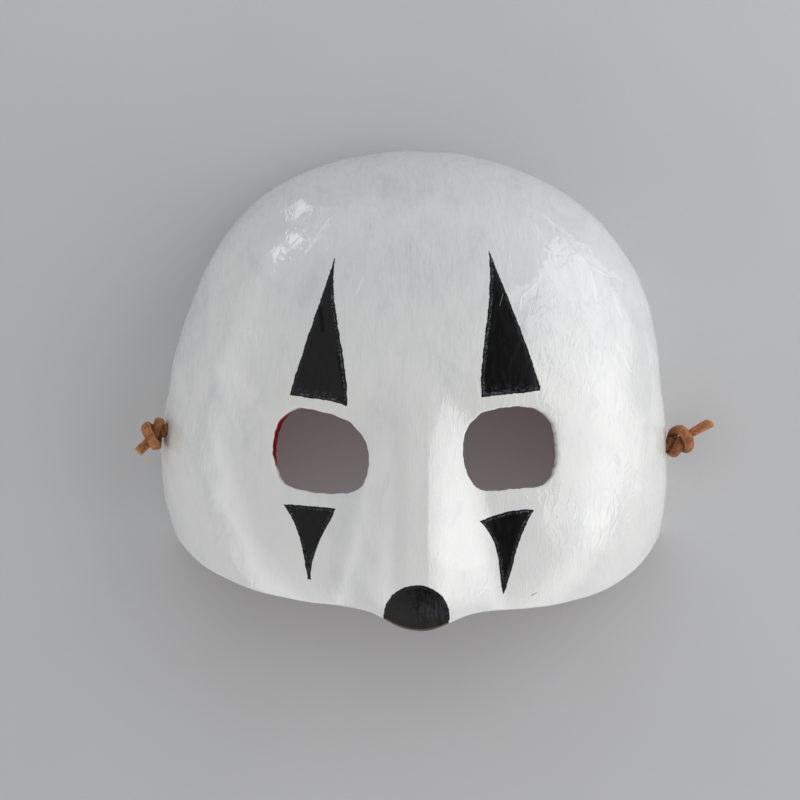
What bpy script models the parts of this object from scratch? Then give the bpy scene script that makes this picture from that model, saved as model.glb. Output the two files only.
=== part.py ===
"""Costume half mask of painted papier-mache with a leather tie.

The mask lies on its rim with the face up. Metres, +Z up out of the face, +Y towards the
top of the forehead, +X to the right of someone who looks at the face. The origin is under
the middle of the mask, in the plane of the rim.
"""
import bpy
import bmesh
import numpy as np
from math import pi, radians
from mathutils import Matrix, Vector

# Driving dimensions of the shell
HALF_WIDTH = 0.0878
TOP = 0.0816
CENTRE = np.array([0.0, -0.0297])   # widest level of the face, where the spokes of the shell meet
FORM_BELOW = 0.080                  # how far the form would run on below the centre, uncut
UPPER_SIDE, UPPER_TOP = 2.0, 3.1    # exponents of the outline above the centre
LOWER_SIDE, LOWER_END = 2.0, 2.2    # exponents of the outline below the centre
WALL = 0.0026
RIM_HEIGHT = 0.012                  # the side stands upright up to here
RIM_TUCK = 0.012                    # share by which the rim is drawn in at the bottom
FACE_HEIGHT = 0.066                 # height of the face at its centre, before the relief
FACE_FLATNESS, FACE_FALL = 2.8, 0.6

# Flatter stretches of the hand-made outline: angle and width in degrees, depth
FLATS = ((22.0, 10.0, 0.0013), (141.0, 17.0, 0.0044), (161.0, 10.0, 0.0012), (197.0, 12.0, 0.0026))

# Relief of the face
NOSE_X = 0.0015
NOSE_HEIGHT = 0.0165
NOSE_TOP_Y, NOSE_TIP_Y = 0.004, -0.074
NOSE_RIDGE = 0.0030                 # half width of the flat along the ridge
NOSE_SPREAD_TOP, NOSE_SPREAD_TIP = 0.015, 0.032
NOSE_RISE = 1.3                     # exponent of the rise: a slow start, a level end
NOSE_ROLL = 0.0045                  # how far the tip turns down over the run below
NOSE_ROLL_Y, NOSE_ROLL_RUN = -0.070, 0.012
SOCKET_DEPTH, SOCKET_SPREAD = 0.0022, 0.022
CHEEK_RISE, CHEEK_SPREAD = 0.0028, 0.022
CHEEK_X, CHEEK_Y = 0.052, -0.054
BROW_RISE, BROW_SPREAD, BROW_Y, BROW_WIDTH = 0.0012, 0.010, 0.010, 0.055
RELIEF_FADE = 0.1                   # share of the form over which the relief fades at the outline

# Lower edge: side-to-side exponent, front-to-back exponent, depth below the centre
EDGE_REACH = 0.0886
EDGE_RIGHT = (3.5, 2.67, 0.0466)
EDGE_LEFT = (2.65, 2.5, 0.0449)
EDGE_BLEND = 0.020
NOSE_EDGE_DROP, NOSE_EDGE_SPREAD, NOSE_EDGE_POWER = 0.0066, 0.0130, 2.4
EDGE_CORNER_Z = 0.021               # the lower edge turns down to the rim from this height
EDGE_CORNER_BEND = 0.005            # height over which that turn fades out
EDGE_SOFTNESS = 0.010               # rounding where the lower edge meets the side, as a share

# Eye holes: points of a smooth closed outline, as they lie seen from the front
EYE_LEFT = ((-0.0474, -0.0230), (-0.0456, -0.0134), (-0.0400, -0.0076), (-0.0310, -0.0089),
            (-0.0223, -0.0120), (-0.0169, -0.0182), (-0.0155, -0.0260), (-0.0186, -0.0342),
            (-0.0260, -0.0360), (-0.0370, -0.0351), (-0.0446, -0.0318))
EYE_RIGHT = ((0.0482, -0.0220), (0.0466, -0.0128), (0.0410, -0.0079), (0.0320, -0.0072),
             (0.0225, -0.0096), (0.0176, -0.0155), (0.0168, -0.0240), (0.0194, -0.0320),
             (0.0240, -0.0351), (0.0340, -0.0345), (0.0432, -0.0332), (0.0470, -0.0285))
EYE_CENTRES = ((-0.0315, -0.0220), (0.0325, -0.0215))
KNIFE_LEAN_LEFT = (-0.30, 0.15)     # lean of the knife off the surface's own upright
KNIFE_LEAN_RIGHT = (0.10, 0.05)

# Tie: one round thong, knotted outside a hole at each temple
THONG = 0.0031
HOLE = 0.0043
HOLE_LEFT_Y, HOLE_LEFT_Z = -0.0150, 0.0215
HOLE_RIGHT_Y, HOLE_RIGHT_Z = -0.0207, 0.0120
GAP = 0.0003
TAIL_REACH_LEFT, TAIL_REACH_RIGHT = 0.0113, 0.0158   # ends of the tails, from the wall
KNOT_PITCH = 0.0039                 # distance between strands that touch
KNOT_SQUASH = 0.86                  # share of the knot's length left after it is pushed to the wall
KNOT_TURN = 345.0                   # turn of the knots about the hole, degrees
KNOT_LEAN = 11.0                    # lean of the knots along the wall, degrees
KNOT_PULL = 0.08                    # how hard the ends are pulled, in pitches a round
KNOT_POINTS, KNOT_ROUNDS = 60, 900
KNOT_BODY = 18                      # points of the knot's path before and after its turns
KNOT_OFFSET = 0.5                   # how far the knot is centred on its hole, as a share

# Mesh fineness
SHARP_ANGLE = 40.0                  # edges over this many degrees stay sharp
SPOKES, RINGS = 96, 20
NOSE_CROWDING, NOSE_CROWD_WIDTH = 1.6, 0.35   # spokes closer together towards the nose, radians
RING_CROWDING = 0.8                 # rings closer together towards the outline
HOLE_SEGMENTS = 16
EYE_POINTS, EDGE_POINTS, EDGE_CORNER_POINTS = 24, 60, 8

# Reach of the cutters past what they cut
RIM_OVERRUN = 0.004
EDGE_OVERRUN = 0.006
KNIFE_OVER, KNIFE_UNDER = 0.0045, 0.0055   # above and below the outer surface
CURTAIN_DOWN, CURTAIN_AWAY = (0.0, -0.020, -0.150), (0.0, -0.100, 0.0)
BLOCK_SIDE, BLOCK_DEPTH = 0.30, 0.02
DRILL_RUN = 0.016

WHITE_PAINT = (0.60, 0.60, 0.60)
LEATHER = (0.30, 0.13, 0.06)


def clear_scene():
    """Removes every object of the scene that is open."""
    for old in list(bpy.data.objects):
        bpy.data.objects.remove(old)


def collection(name):
    group = bpy.data.collections.new(name)
    bpy.context.scene.collection.children.link(group)
    return group


def material(name, colour, roughness):
    made = bpy.data.materials.new(name)
    made.use_nodes = True
    shader = made.node_tree.nodes["Principled BSDF"]
    shader.inputs["Base Color"].default_value = (*colour, 1.0)
    shader.inputs["Roughness"].default_value = roughness
    shader.inputs["Metallic"].default_value = 0.0
    return made


def add_mesh(name, mesh, group, finish=None):
    made = bpy.data.objects.new(name, mesh)
    group.objects.link(made)
    if finish is not None:
        mesh.materials.append(finish)
    return made


def bump(distance, spread):
    """Smooth hill that is 1 at distance 0 and fades over the spread."""
    return np.exp(-(distance / spread) ** 2)


def outline_table(count=1440):
    """Radius of the form's outline about the centre, at even angles from +X, anticlockwise."""
    angle = np.linspace(0.0, 2.0 * pi, count, endpoint=False)
    side, along = np.abs(np.cos(angle)), np.abs(np.sin(angle))
    upper = np.sin(angle) > 0.0
    length = np.where(upper, TOP - CENTRE[1], FORM_BELOW)
    side_power = np.where(upper, UPPER_SIDE, LOWER_SIDE)
    along_power = np.where(upper, UPPER_TOP, LOWER_END)
    low, high = np.zeros(count), np.full(count, 0.2)
    for _ in range(40):
        middle = (low + high) / 2.0
        inside = (middle * side / HALF_WIDTH) ** side_power + (middle * along / length) ** along_power < 1.0
        low, high = np.where(inside, middle, low), np.where(inside, high, middle)
    radius = low
    for at, width, depth in FLATS:
        radius = radius - depth * bump(np.degrees(angle) - at, width)
    return angle, radius


OUTLINE_ANGLE, OUTLINE_RADIUS = outline_table()


def outline_radius(angle):
    return np.interp(angle, OUTLINE_ANGLE, OUTLINE_RADIUS, period=2.0 * pi)


def nose_relief(x, y):
    """Ridge with a flat top and smooth flanks that rises and widens down to the tip."""
    down = np.clip((NOSE_TOP_Y - y) / (NOSE_TOP_Y - NOSE_TIP_Y), 0.0, 1.0)
    height = NOSE_HEIGHT * np.sin(down * pi / 2.0) ** NOSE_RISE
    spread = NOSE_SPREAD_TOP + (NOSE_SPREAD_TIP - NOSE_SPREAD_TOP) * down
    flank = np.clip((np.abs(x - NOSE_X) - NOSE_RIDGE) / (spread - NOSE_RIDGE), 0.0, 1.0)
    roll = NOSE_ROLL * np.clip((NOSE_ROLL_Y - y) / NOSE_ROLL_RUN, 0.0, 1.3) ** 2
    return (height - roll) * (1.0 + np.cos(pi * flank)) / 2.0


def relief(x, y):
    """Height that nose, eye sockets, cheeks and brow add to the plain dome."""
    total = nose_relief(x, y)
    for side, (eye_x, eye_y) in zip((-1.0, 1.0), EYE_CENTRES):
        total -= SOCKET_DEPTH * bump(np.hypot(x - eye_x, y - eye_y), SOCKET_SPREAD)
        total += CHEEK_RISE * bump(np.hypot(x - side * CHEEK_X, y - CHEEK_Y), CHEEK_SPREAD)
    return total + BROW_RISE * bump(y - BROW_Y, BROW_SPREAD) * bump(x, BROW_WIDTH)


def dome_height(share):
    """Height of the plain dome at a share of the way from the centre to the outline."""
    fall = np.clip(1.0 - np.clip(share, 0.0, 1.0) ** FACE_FLATNESS, 0.0, 1.0)
    return RIM_HEIGHT + (FACE_HEIGHT - RIM_HEIGHT) * fall ** FACE_FALL


def face_height(x, y):
    """Height of the outer surface over a point of the plan, inside the outline."""
    from_centre = np.hypot(x - CENTRE[0], y - CENTRE[1])
    angle = np.arctan2(y - CENTRE[1], x - CENTRE[0])
    share = np.clip(from_centre / outline_radius(angle), 0.0, 1.0)
    return dome_height(share) + relief(x, y) * np.clip((1.0 - share) / RELIEF_FADE, 0.0, 1.0)


def face_upright(x, y, step=0.0002):
    """Unit vectors that stand square on the outer surface."""
    across = (face_height(x + step, y) - face_height(x - step, y)) / (2.0 * step)
    along = (face_height(x, y + step) - face_height(x, y - step)) / (2.0 * step)
    upright = np.stack([-across, -along, np.ones_like(across)], axis=-1)
    return upright / np.linalg.norm(upright, axis=-1, keepdims=True)


def spoke_angles():
    """Directions of the shell's spokes, closer together towards the nose."""
    even = np.linspace(-pi / 2.0, 1.5 * pi, 2001)
    near_nose = bump(even + pi / 2.0, NOSE_CROWD_WIDTH) + bump(even - 1.5 * pi, NOSE_CROWD_WIDTH)
    crowd = 1.0 + NOSE_CROWDING * near_nose
    walked = np.concatenate([[0.0], np.cumsum((crowd[1:] + crowd[:-1]) / 2.0)])
    return np.interp(np.linspace(0.0, walked[-1], SPOKES + 1), walked, even)


def ring_places():
    """Share of the outline and height of each ring, from below the rim up to the centre."""
    low = [(rim_share(z), z) for z in (-RIM_OVERRUN, 0.0, RIM_HEIGHT / 2.0)]
    turn = np.linspace(0.0, 1.0, RINGS - len(low) + 1)
    return low + [(share, None) for share in np.cos(turn * pi / 2.0) ** RING_CROWDING]


def rim_share(z):
    """Share of the outline that the side wall reaches at a height below its upright stretch."""
    return 1.0 - RIM_TUCK * (1.0 - z / RIM_HEIGHT) ** 2


def face_sheet():
    """Outer surface of the shell: a grid of spokes and rings laid over the form."""
    sheet = bmesh.new()
    angles, places = spoke_angles(), ring_places()
    bmesh.ops.create_grid(sheet, x_segments=SPOKES, y_segments=len(places) - 1, size=1.0)
    for vert in sheet.verts:
        spoke = round((vert.co.x + 1.0) / 2.0 * SPOKES)
        ring = round((vert.co.y + 1.0) / 2.0 * (len(places) - 1))
        share, height = places[ring]
        radius = outline_radius(angles[spoke]) * share
        x = CENTRE[0] + radius * np.cos(angles[spoke])
        y = CENTRE[1] + radius * np.sin(angles[spoke])
        vert.co = (x, y, face_height(x, y) if height is None else height)
    bmesh.ops.remove_doubles(sheet, verts=sheet.verts, dist=0.00002)
    mesh = bpy.data.meshes.new("mask_shell")
    sheet.to_mesh(mesh)
    sheet.free()
    return mesh


def smooth_loop(points, count):
    """Even points along a closed smooth curve through the given points."""
    given = np.array(points)
    before, after, beyond = np.roll(given, 1, 0), np.roll(given, -1, 0), np.roll(given, -2, 0)
    t = np.linspace(0.0, 1.0, 20, endpoint=False)[:, None, None]
    curve = (given * (2.0 - 5.0 * t ** 2 + 3.0 * t ** 3) + before * (2.0 * t ** 2 - t - t ** 3)
             + after * (t + 4.0 * t ** 2 - 3.0 * t ** 3) + beyond * (t ** 3 - t ** 2)) / 2.0
    curve = curve.transpose(1, 0, 2).reshape(-1, given.shape[1])
    return evenly(np.vstack([curve, curve[:1]]), count + 1)[:-1]


def smooth_path(points, count):
    """Even points along an open smooth curve through the given points."""
    given = np.array(points)
    padded = np.vstack([2.0 * given[0] - given[1], given, 2.0 * given[-1] - given[-2]])
    t = np.linspace(0.0, 1.0, 20, endpoint=False)[:, None, None]
    curve = (padded[1:-2] * (2.0 - 5.0 * t ** 2 + 3.0 * t ** 3)
             + padded[:-3] * (2.0 * t ** 2 - t - t ** 3)
             + padded[2:-1] * (t + 4.0 * t ** 2 - 3.0 * t ** 3)
             + padded[3:] * (t ** 3 - t ** 2)) / 2.0
    curve = curve.transpose(1, 0, 2).reshape(-1, given.shape[1])
    return evenly(np.vstack([curve, given[-1:]]), count)


def evenly(path, count):
    """Points at even distances along a path."""
    walked = np.concatenate([[0.0], np.cumsum(np.linalg.norm(np.diff(path, axis=0), axis=1))])
    at = np.linspace(0.0, walked[-1], count)
    return np.stack([np.interp(at, walked, path[:, axis]) for axis in range(path.shape[1])], axis=1)


def loft(name, sections, closed, group):
    """Solid through sections of equally many points: a ring of them, or a run with end caps."""
    solid = bmesh.new()
    rings = [[solid.verts.new(point) for point in section] for section in sections]
    pairs = list(zip(rings, rings[1:] + rings[:1])) if closed else list(zip(rings, rings[1:]))
    for ring, following in pairs:
        for i in range(len(ring)):
            j = (i + 1) % len(ring)
            solid.faces.new((ring[i], ring[j], following[j], following[i]))
    if not closed:
        solid.faces.new(rings[0])
        solid.faces.new(rings[-1])
    bmesh.ops.recalc_face_normals(solid, faces=solid.faces)
    mesh = bpy.data.meshes.new(name)
    solid.to_mesh(mesh)
    solid.free()
    return add_mesh(name, mesh, group)


def eye_cutter(name, points, lean, group):
    """Plug through the shell whose sides follow the knife round the eye hole."""
    outline = smooth_loop(points, EYE_POINTS)
    x, y = outline[:, 0], outline[:, 1]
    surface = np.stack([x, y, face_height(x, y)], axis=1)
    knife = face_upright(x, y)
    knife[:, :2] += lean
    knife /= np.linalg.norm(knife, axis=1, keepdims=True)
    return loft(name, [surface + KNIFE_OVER * knife, surface - KNIFE_UNDER * knife], False, group)


def lower_edge_depth(x):
    """Distance of the lower edge below the centre, seen from the front."""
    depths = []
    for side_power, end_power, depth in (EDGE_LEFT, EDGE_RIGHT):
        inside = np.clip(1.0 - np.abs(x / EDGE_REACH) ** side_power, 0.0, 1.0)
        depths.append(depth * inside ** (1.0 / end_power))
    to_right = 0.5 + 0.5 * np.tanh(x / EDGE_BLEND)
    drop = NOSE_EDGE_DROP * np.exp(-np.abs((x - NOSE_X) / NOSE_EDGE_SPREAD) ** NOSE_EDGE_POWER)
    return depths[0] * (1.0 - to_right) + depths[1] * to_right + drop


def lower_edge():
    """Points and upright vectors along the lower edge, from the left corner to the right one."""
    turn = np.linspace(-pi / 2.0, pi / 2.0, 400)
    x = EDGE_REACH * np.sin(turn)
    y = CENTRE[1] - lower_edge_depth(x)
    radius = outline_radius(np.arctan2(y - CENTRE[1], x - CENTRE[0]))
    share = np.hypot(x - CENTRE[0], y - CENTRE[1]) / radius
    on_face = share < 1.0
    pull_in = 1.0 - EDGE_SOFTNESS * np.log1p(np.exp((share - 1.0) / EDGE_SOFTNESS)) / share
    x = CENTRE[0] + (x - CENTRE[0])[on_face] * pull_in[on_face]
    y = CENTRE[1] + (y - CENTRE[1])[on_face] * pull_in[on_face]
    path = np.stack([x, y, face_height(x, y)], axis=1)
    path = evenly(path[path[:, 2] > EDGE_CORNER_Z], EDGE_POINTS)
    upright = face_upright(path[:, 0], path[:, 1])
    left, left_upright = edge_corner(-1.0, path[0], path[1], upright[0])
    right, right_upright = edge_corner(1.0, path[-1], path[-2], upright[-1])
    points = np.vstack([left[::-1], path, right])
    return points, np.vstack([left_upright[::-1], upright, right_upright])


def edge_corner(side, last, previous, upright):
    """Run of the lower edge down the side wall, bending from its own slope to straight down."""
    slope = (last[1] - previous[1]) / (previous[2] - last[2])
    down = np.linspace(last[2], 0.0, EDGE_CORNER_POINTS + 1)[1:]
    back = last[1] + slope * EDGE_CORNER_BEND * (1.0 - np.exp((down - last[2]) / EDGE_CORNER_BEND))
    points = np.array([wall_point(side, y, z)[0] for y, z in zip(back, down)])
    points = np.vstack([points, points[-1] - (0.0, 0.0, EDGE_OVERRUN)])
    level = np.append(np.clip((down - RIM_HEIGHT) / (last[2] - RIM_HEIGHT), 0.0, 1.0), 0.0)
    uprights = upright * np.stack([np.ones_like(level), np.ones_like(level), level], axis=1)
    return points, uprights / np.linalg.norm(uprights, axis=1, keepdims=True)


def edge_cutter(group):
    """Curtain that takes away everything below the lower edge, square to the surface."""
    points, uprights = lower_edge()
    down, away = np.array(CURTAIN_DOWN), np.array(CURTAIN_AWAY)
    sections = []
    for point, upright in zip(points, uprights):
        over, under = point + upright * KNIFE_OVER, point - upright * KNIFE_UNDER
        sections.append([over, under, under + down, under + down + away, over + away])
    return loft("edge_cutter", sections, False, group)


def rim_cutter(group):
    """Block whose top is the plane that the rim rests on."""
    block = bmesh.new()
    bmesh.ops.create_cube(block, size=1.0)
    bmesh.ops.scale(block, verts=block.verts, vec=(BLOCK_SIDE, BLOCK_SIDE, BLOCK_DEPTH))
    bmesh.ops.translate(block, verts=block.verts, vec=(0.0, 0.0, -BLOCK_DEPTH / 2.0))
    mesh = bpy.data.meshes.new("rim_cutter")
    block.to_mesh(mesh)
    block.free()
    return add_mesh("rim_cutter", mesh, group)


def wall_point(side, y, z):
    """Point on the outer wall at a level of the side, and the wall's outward direction there."""
    low, high = 0.5 * HALF_WIDTH, HALF_WIDTH
    for _ in range(40):
        middle = (low + high) / 2.0
        radius = np.hypot(middle, y - CENTRE[1])
        share = radius / outline_radius(np.arctan2(y - CENTRE[1], side * middle))
        if z >= RIM_HEIGHT:
            inside = share < 1.0 and face_height(side * middle, y) > z
        else:
            inside = share < rim_share(z)
        low, high = (middle, high) if inside else (low, middle)
    point = np.array([side * low, y, z])
    if z <= RIM_HEIGHT + 0.001:
        return point, np.array([side, 0.0, 0.0])
    outward = face_upright(np.array(side * low), np.array(y))
    outward[1] = 0.0
    return point, outward / np.linalg.norm(outward)


def hole_cutter(name, point, outward, group):
    """Drill through the wall at a temple."""
    drill = bmesh.new()
    turn = Vector((0.0, 0.0, 1.0)).rotation_difference(Vector(outward)).to_matrix().to_4x4()
    bmesh.ops.create_cone(drill, cap_ends=True, segments=HOLE_SEGMENTS, radius1=HOLE / 2.0,
                          radius2=HOLE / 2.0, depth=DRILL_RUN, matrix=Matrix.Translation(point) @ turn)
    mesh = bpy.data.meshes.new(name)
    drill.to_mesh(mesh)
    drill.free()
    return add_mesh(name, mesh, group)


def cut(target, cutters):
    """Cuts the pieces of the second collection out of an object."""
    for cutter in cutters:
        cutter.hide_render = True
        cutter.display_type = "WIRE"
        step = target.modifiers.new(cutter.name, "BOOLEAN")
        step.operation = "DIFFERENCE"
        step.solver = "EXACT"
        step.object = cutter


def keep_result(target):
    """Gives an object the mesh that its modifiers make, so that its cut edges can be marked."""
    shown = target.evaluated_get(bpy.context.evaluated_depsgraph_get())
    result = bpy.data.meshes.new_from_object(shown)
    target.modifiers.clear()
    target.data = result


def mask_shell(group, cutters, finish, holes):
    """Hollow face: the outer sheet given its wall, then cut at rim, lower edge, eyes and temples."""
    shell = add_mesh("mask_shell", face_sheet(), group, finish)
    wall = shell.modifiers.new("wall", "SOLIDIFY")
    wall.thickness = WALL
    wall.offset = -1.0
    wall.use_even_offset = True
    cut(shell, [rim_cutter(cutters), edge_cutter(cutters),
                eye_cutter("eye_cutter_left", EYE_LEFT, KNIFE_LEAN_LEFT, cutters),
                eye_cutter("eye_cutter_right", EYE_RIGHT, KNIFE_LEAN_RIGHT, cutters),
                hole_cutter("hole_cutter_left", *holes[0], cutters),
                hole_cutter("hole_cutter_right", *holes[1], cutters)])
    keep_result(shell)
    shell.data.shade_smooth()
    shell.data.set_sharp_from_angle(angle=radians(SHARP_ANGLE))


def tight_knot(pitch):
    """Path of an overhand knot: an open trefoil, shortened while touching strands push apart."""
    t = np.linspace(-2.25, 2.25, KNOT_POINTS)
    path = np.stack([0.45 * (t ** 5 - 10.0 * t), 2.6 * (t ** 3 - 3.0 * t),
                     2.2 * (t ** 4 - 4.0 * t ** 2)], axis=1) * pitch / 2.9
    loose = np.linalg.norm(np.diff(path, axis=0), axis=1).mean()
    tight = 0.36 * pitch
    first, second = np.triu_indices(KNOT_POINTS, 1)
    for turn in range(KNOT_ROUNDS):
        step = max(loose + (tight - loose) * 2.0 * turn / KNOT_ROUNDS, tight)
        chord = path[-1] - path[0]
        chord *= KNOT_PULL * pitch / np.linalg.norm(chord)
        path[0] -= chord
        path[-1] += chord
        path[1:-1] += 0.3 * (0.5 * (path[:-2] + path[2:]) - path[1:-1])
        strands = (second - first) * step > 1.5 * pitch
        a, b = first[strands], second[strands]
        for _ in range(3):
            between = path[b] - path[a]
            reach = np.linalg.norm(between, axis=1)
            near = reach < pitch
            push = between[near] * ((pitch - reach[near]) / reach[near] / 2.0)[:, None]
            shift, count = np.zeros_like(path), np.ones(KNOT_POINTS)
            for ends, sign in ((a[near], -1.0), (b[near], 1.0)):
                np.add.at(shift, ends, sign * push)
                np.add.at(count, ends, 0.5)
            path += 1.3 * shift / count[:, None]
            for start in (0, 1):
                i = np.arange(start, KNOT_POINTS - 1, 2)
                link = path[i + 1] - path[i]
                long = np.linalg.norm(link, axis=1)[:, None]
                path[i] += link * (long - step) / long / 2.0
                path[i + 1] -= link * (long - step) / long / 2.0
    return path[::-1]


def knot_path(point, outward, reach):
    """The knot turned so that it sits outside a hole, its root running in through the wall."""
    path = tight_knot(KNOT_PITCH)
    axis = path[6] - path[0]
    axis /= np.linalg.norm(axis)
    side = np.array([0.1, 0.3, 1.0]) - axis * np.dot(axis, (0.1, 0.3, 1.0))
    side /= np.linalg.norm(side)
    local = (path - path[0]) @ np.stack([axis, side, -np.cross(axis, side)]).T
    turn = Matrix.Rotation(radians(KNOT_LEAN), 3, "Z") @ Matrix.Rotation(radians(KNOT_TURN), 3, "X")
    local = local @ np.array(turn).T * (KNOT_SQUASH, 1.0, 1.0)
    body = local[KNOT_BODY:-KNOT_BODY]
    local -= [body[:, 0].min() - THONG / 2.0 - GAP, *body[:, 1:].mean(axis=0) * KNOT_OFFSET]
    outside = local[(local[:, 0] > THONG * 0.3) & (local[:, 0] < reach)]
    local = smooth_path(np.vstack([[-WALL / 2.0, 0.0, 0.0], [WALL / 4.0, 0.0, 0.0], outside]), 40)
    across = np.array([0.0, np.sign(outward[0]), 0.0])
    return point + local @ np.stack([outward, across, np.cross(outward, across)])


def thong(name, path, group, finish):
    """Length of the round thong along a path, with closed ends."""
    curve = bpy.data.curves.new(name, "CURVE")
    curve.dimensions = "3D"
    curve.bevel_depth = THONG / 2.0
    curve.bevel_resolution = 2
    curve.use_fill_caps = True
    spline = curve.splines.new("POLY")
    spline.points.add(len(path) - 1)
    for node, place in zip(spline.points, path):
        node.co = (*place, 1.0)
    curve.materials.append(finish)
    made = bpy.data.objects.new(name, curve)
    group.objects.link(made)
    return made


def tie_route(holes):
    """The thong inside the mask: in from the left hole, loosely over the floor, out on the right."""
    floor = THONG / 2.0 + 0.00005
    left, left_out = holes[0]
    right, right_out = holes[1]
    inward = WALL / 2.0 + GAP
    route = [left - left_out * inward, left - left_out * (inward + 0.006),
             (-0.0700, -0.0140, 0.0110), (-0.0630, -0.0090, 0.0045), (-0.0590, 0.0000, floor),
             (-0.0585, 0.0140, floor), (-0.0570, 0.0310, floor), (-0.0490, 0.0470, floor),
             (-0.0350, 0.0560, floor), (-0.0200, 0.0550, floor), (-0.0090, 0.0440, floor),
             (-0.0040, 0.0280, floor), (0.0040, 0.0140, floor), (0.0170, 0.0120, floor),
             (0.0260, 0.0240, floor), (0.0310, 0.0410, floor), (0.0420, 0.0520, floor),
             (0.0550, 0.0460, floor), (0.0600, 0.0300, floor), (0.0610, 0.0130, floor),
             (0.0610, -0.0020, floor), (0.0660, -0.0130, 0.0045),
             right - right_out * (inward + 0.007), right - right_out * inward]
    path = smooth_path(route, 56)
    path[:, 2] = np.maximum(path[:, 2], floor)
    return path


def build():
    clear_scene()
    group, cutters = collection("costume_mask"), collection("cutters")
    white = material("white_paint", WHITE_PAINT, 0.35)
    leather = material("leather", LEATHER, 0.85)
    holes = [wall_point(-1.0, HOLE_LEFT_Y, HOLE_LEFT_Z), wall_point(1.0, HOLE_RIGHT_Y, HOLE_RIGHT_Z)]
    mask_shell(group, cutters, white, holes)
    thong("knot_left", knot_path(*holes[0], TAIL_REACH_LEFT), group, leather)
    thong("knot_right", knot_path(*holes[1], TAIL_REACH_RIGHT), group, leather)
    thong("tie_cord", tie_route(holes), group, leather)


build()
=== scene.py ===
"""Looks of a costume half mask: a painted papier-mache shell and its knotted leather tie.

Metres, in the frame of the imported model: the rim lies on z = 0 with the face up, +Y runs
towards the top of the forehead and +X to the right of someone who looks at the face.
"""
from functools import reduce
from math import pi, radians, tan

import bmesh
import bpy
import numpy as np
from mathutils import Matrix, Vector


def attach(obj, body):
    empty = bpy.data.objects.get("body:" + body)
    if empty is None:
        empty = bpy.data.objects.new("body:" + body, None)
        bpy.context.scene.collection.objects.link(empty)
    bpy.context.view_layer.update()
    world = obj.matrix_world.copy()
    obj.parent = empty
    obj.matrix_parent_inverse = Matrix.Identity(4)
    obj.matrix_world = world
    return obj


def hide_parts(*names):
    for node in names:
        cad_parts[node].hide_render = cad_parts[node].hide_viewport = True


bl_info = {
    "name": "Costume half mask",
    "version": (1, 0, 0),
    "blender": (4, 5, 0),
    "location": "3D View > Sidebar > Half mask",
    "description": "Makes the painted shell, the leather tie and the stage of a half mask",
    "category": "Object",
}

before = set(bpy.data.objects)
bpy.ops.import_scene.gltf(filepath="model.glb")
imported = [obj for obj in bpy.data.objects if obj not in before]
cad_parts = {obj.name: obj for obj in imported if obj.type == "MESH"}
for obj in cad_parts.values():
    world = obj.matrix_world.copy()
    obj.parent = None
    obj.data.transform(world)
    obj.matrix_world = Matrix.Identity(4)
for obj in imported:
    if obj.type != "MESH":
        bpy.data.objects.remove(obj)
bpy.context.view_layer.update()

# Form of the shell, as in the part's source
HALF_WIDTH = 0.0878
TOP = 0.0816
CENTRE = np.array([0.0, -0.0297])   # widest level of the face
FORM_BELOW = 0.080
UPPER_SIDE, UPPER_TOP = 2.0, 3.1    # exponents of the outline above the centre
LOWER_SIDE, LOWER_END = 2.0, 2.2    # exponents of the outline below the centre
RIM_HEIGHT = 0.012
RIM_TUCK = 0.012
FACE_HEIGHT = 0.066
FACE_FLATNESS, FACE_FALL = 2.8, 0.6

# Flatter stretches of the outline: angle and width in degrees, depth
FLATS = ((22.0, 10.0, 0.0013), (141.0, 17.0, 0.0044), (161.0, 10.0, 0.0012), (197.0, 12.0, 0.0026))

# Relief of the face
NOSE_X = 0.0015
NOSE_HEIGHT = 0.0165
NOSE_TOP_Y, NOSE_TIP_Y = 0.004, -0.074
NOSE_RIDGE = 0.0030
NOSE_SPREAD_TOP, NOSE_SPREAD_TIP = 0.015, 0.032
NOSE_RISE = 1.3
NOSE_STEEP = 0.25                   # share of the steep part in the right flank
NOSE_ROLL = 0.0045
NOSE_ROLL_Y, NOSE_ROLL_RUN = -0.070, 0.012
SOCKET_DEPTH, SOCKET_SPREAD = 0.0022, 0.022
CHEEK_RISE, CHEEK_SPREAD = 0.0028, 0.022
CHEEK_X, CHEEK_Y = 0.052, -0.054
BROW_RISE, BROW_SPREAD, BROW_Y, BROW_WIDTH = 0.0012, 0.010, 0.010, 0.055
RELIEF_FADE = 0.12

# Lower edge: side-to-side exponent, front-to-back exponent, depth below the centre
EDGE_REACH = 0.0886
EDGE_RIGHT = (3.5, 2.67, 0.0466)
EDGE_LEFT = (2.65, 2.5, 0.0449)
EDGE_BLEND = 0.020
NOSE_EDGE_DROP, NOSE_EDGE_SPREAD, NOSE_EDGE_POWER = 0.0066, 0.0130, 2.4
EDGE_CORNER_Z = 0.021
EDGE_CORNER_BEND = 0.005
EDGE_SOFTNESS = 0.010

# Eye holes: points of a smooth closed outline, as they lie seen from the front
EYE_LEFT = ((-0.0474, -0.0230), (-0.0456, -0.0134), (-0.0400, -0.0076), (-0.0310, -0.0089),
            (-0.0223, -0.0120), (-0.0169, -0.0182), (-0.0155, -0.0260), (-0.0186, -0.0342),
            (-0.0260, -0.0360), (-0.0370, -0.0351), (-0.0446, -0.0318))
EYE_RIGHT = ((0.0482, -0.0220), (0.0466, -0.0128), (0.0410, -0.0079), (0.0320, -0.0072),
             (0.0225, -0.0096), (0.0176, -0.0155), (0.0168, -0.0240), (0.0194, -0.0320),
             (0.0240, -0.0351), (0.0340, -0.0345), (0.0432, -0.0332), (0.0470, -0.0285))
EYE_CENTRES = ((-0.0315, -0.0220), (0.0325, -0.0215))
EYE_POINTS = 720
KNIFE_LEAN_LEFT = (-0.30, 0.15)
KNIFE_LEAN_RIGHT = (0.10, 0.05)
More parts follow.
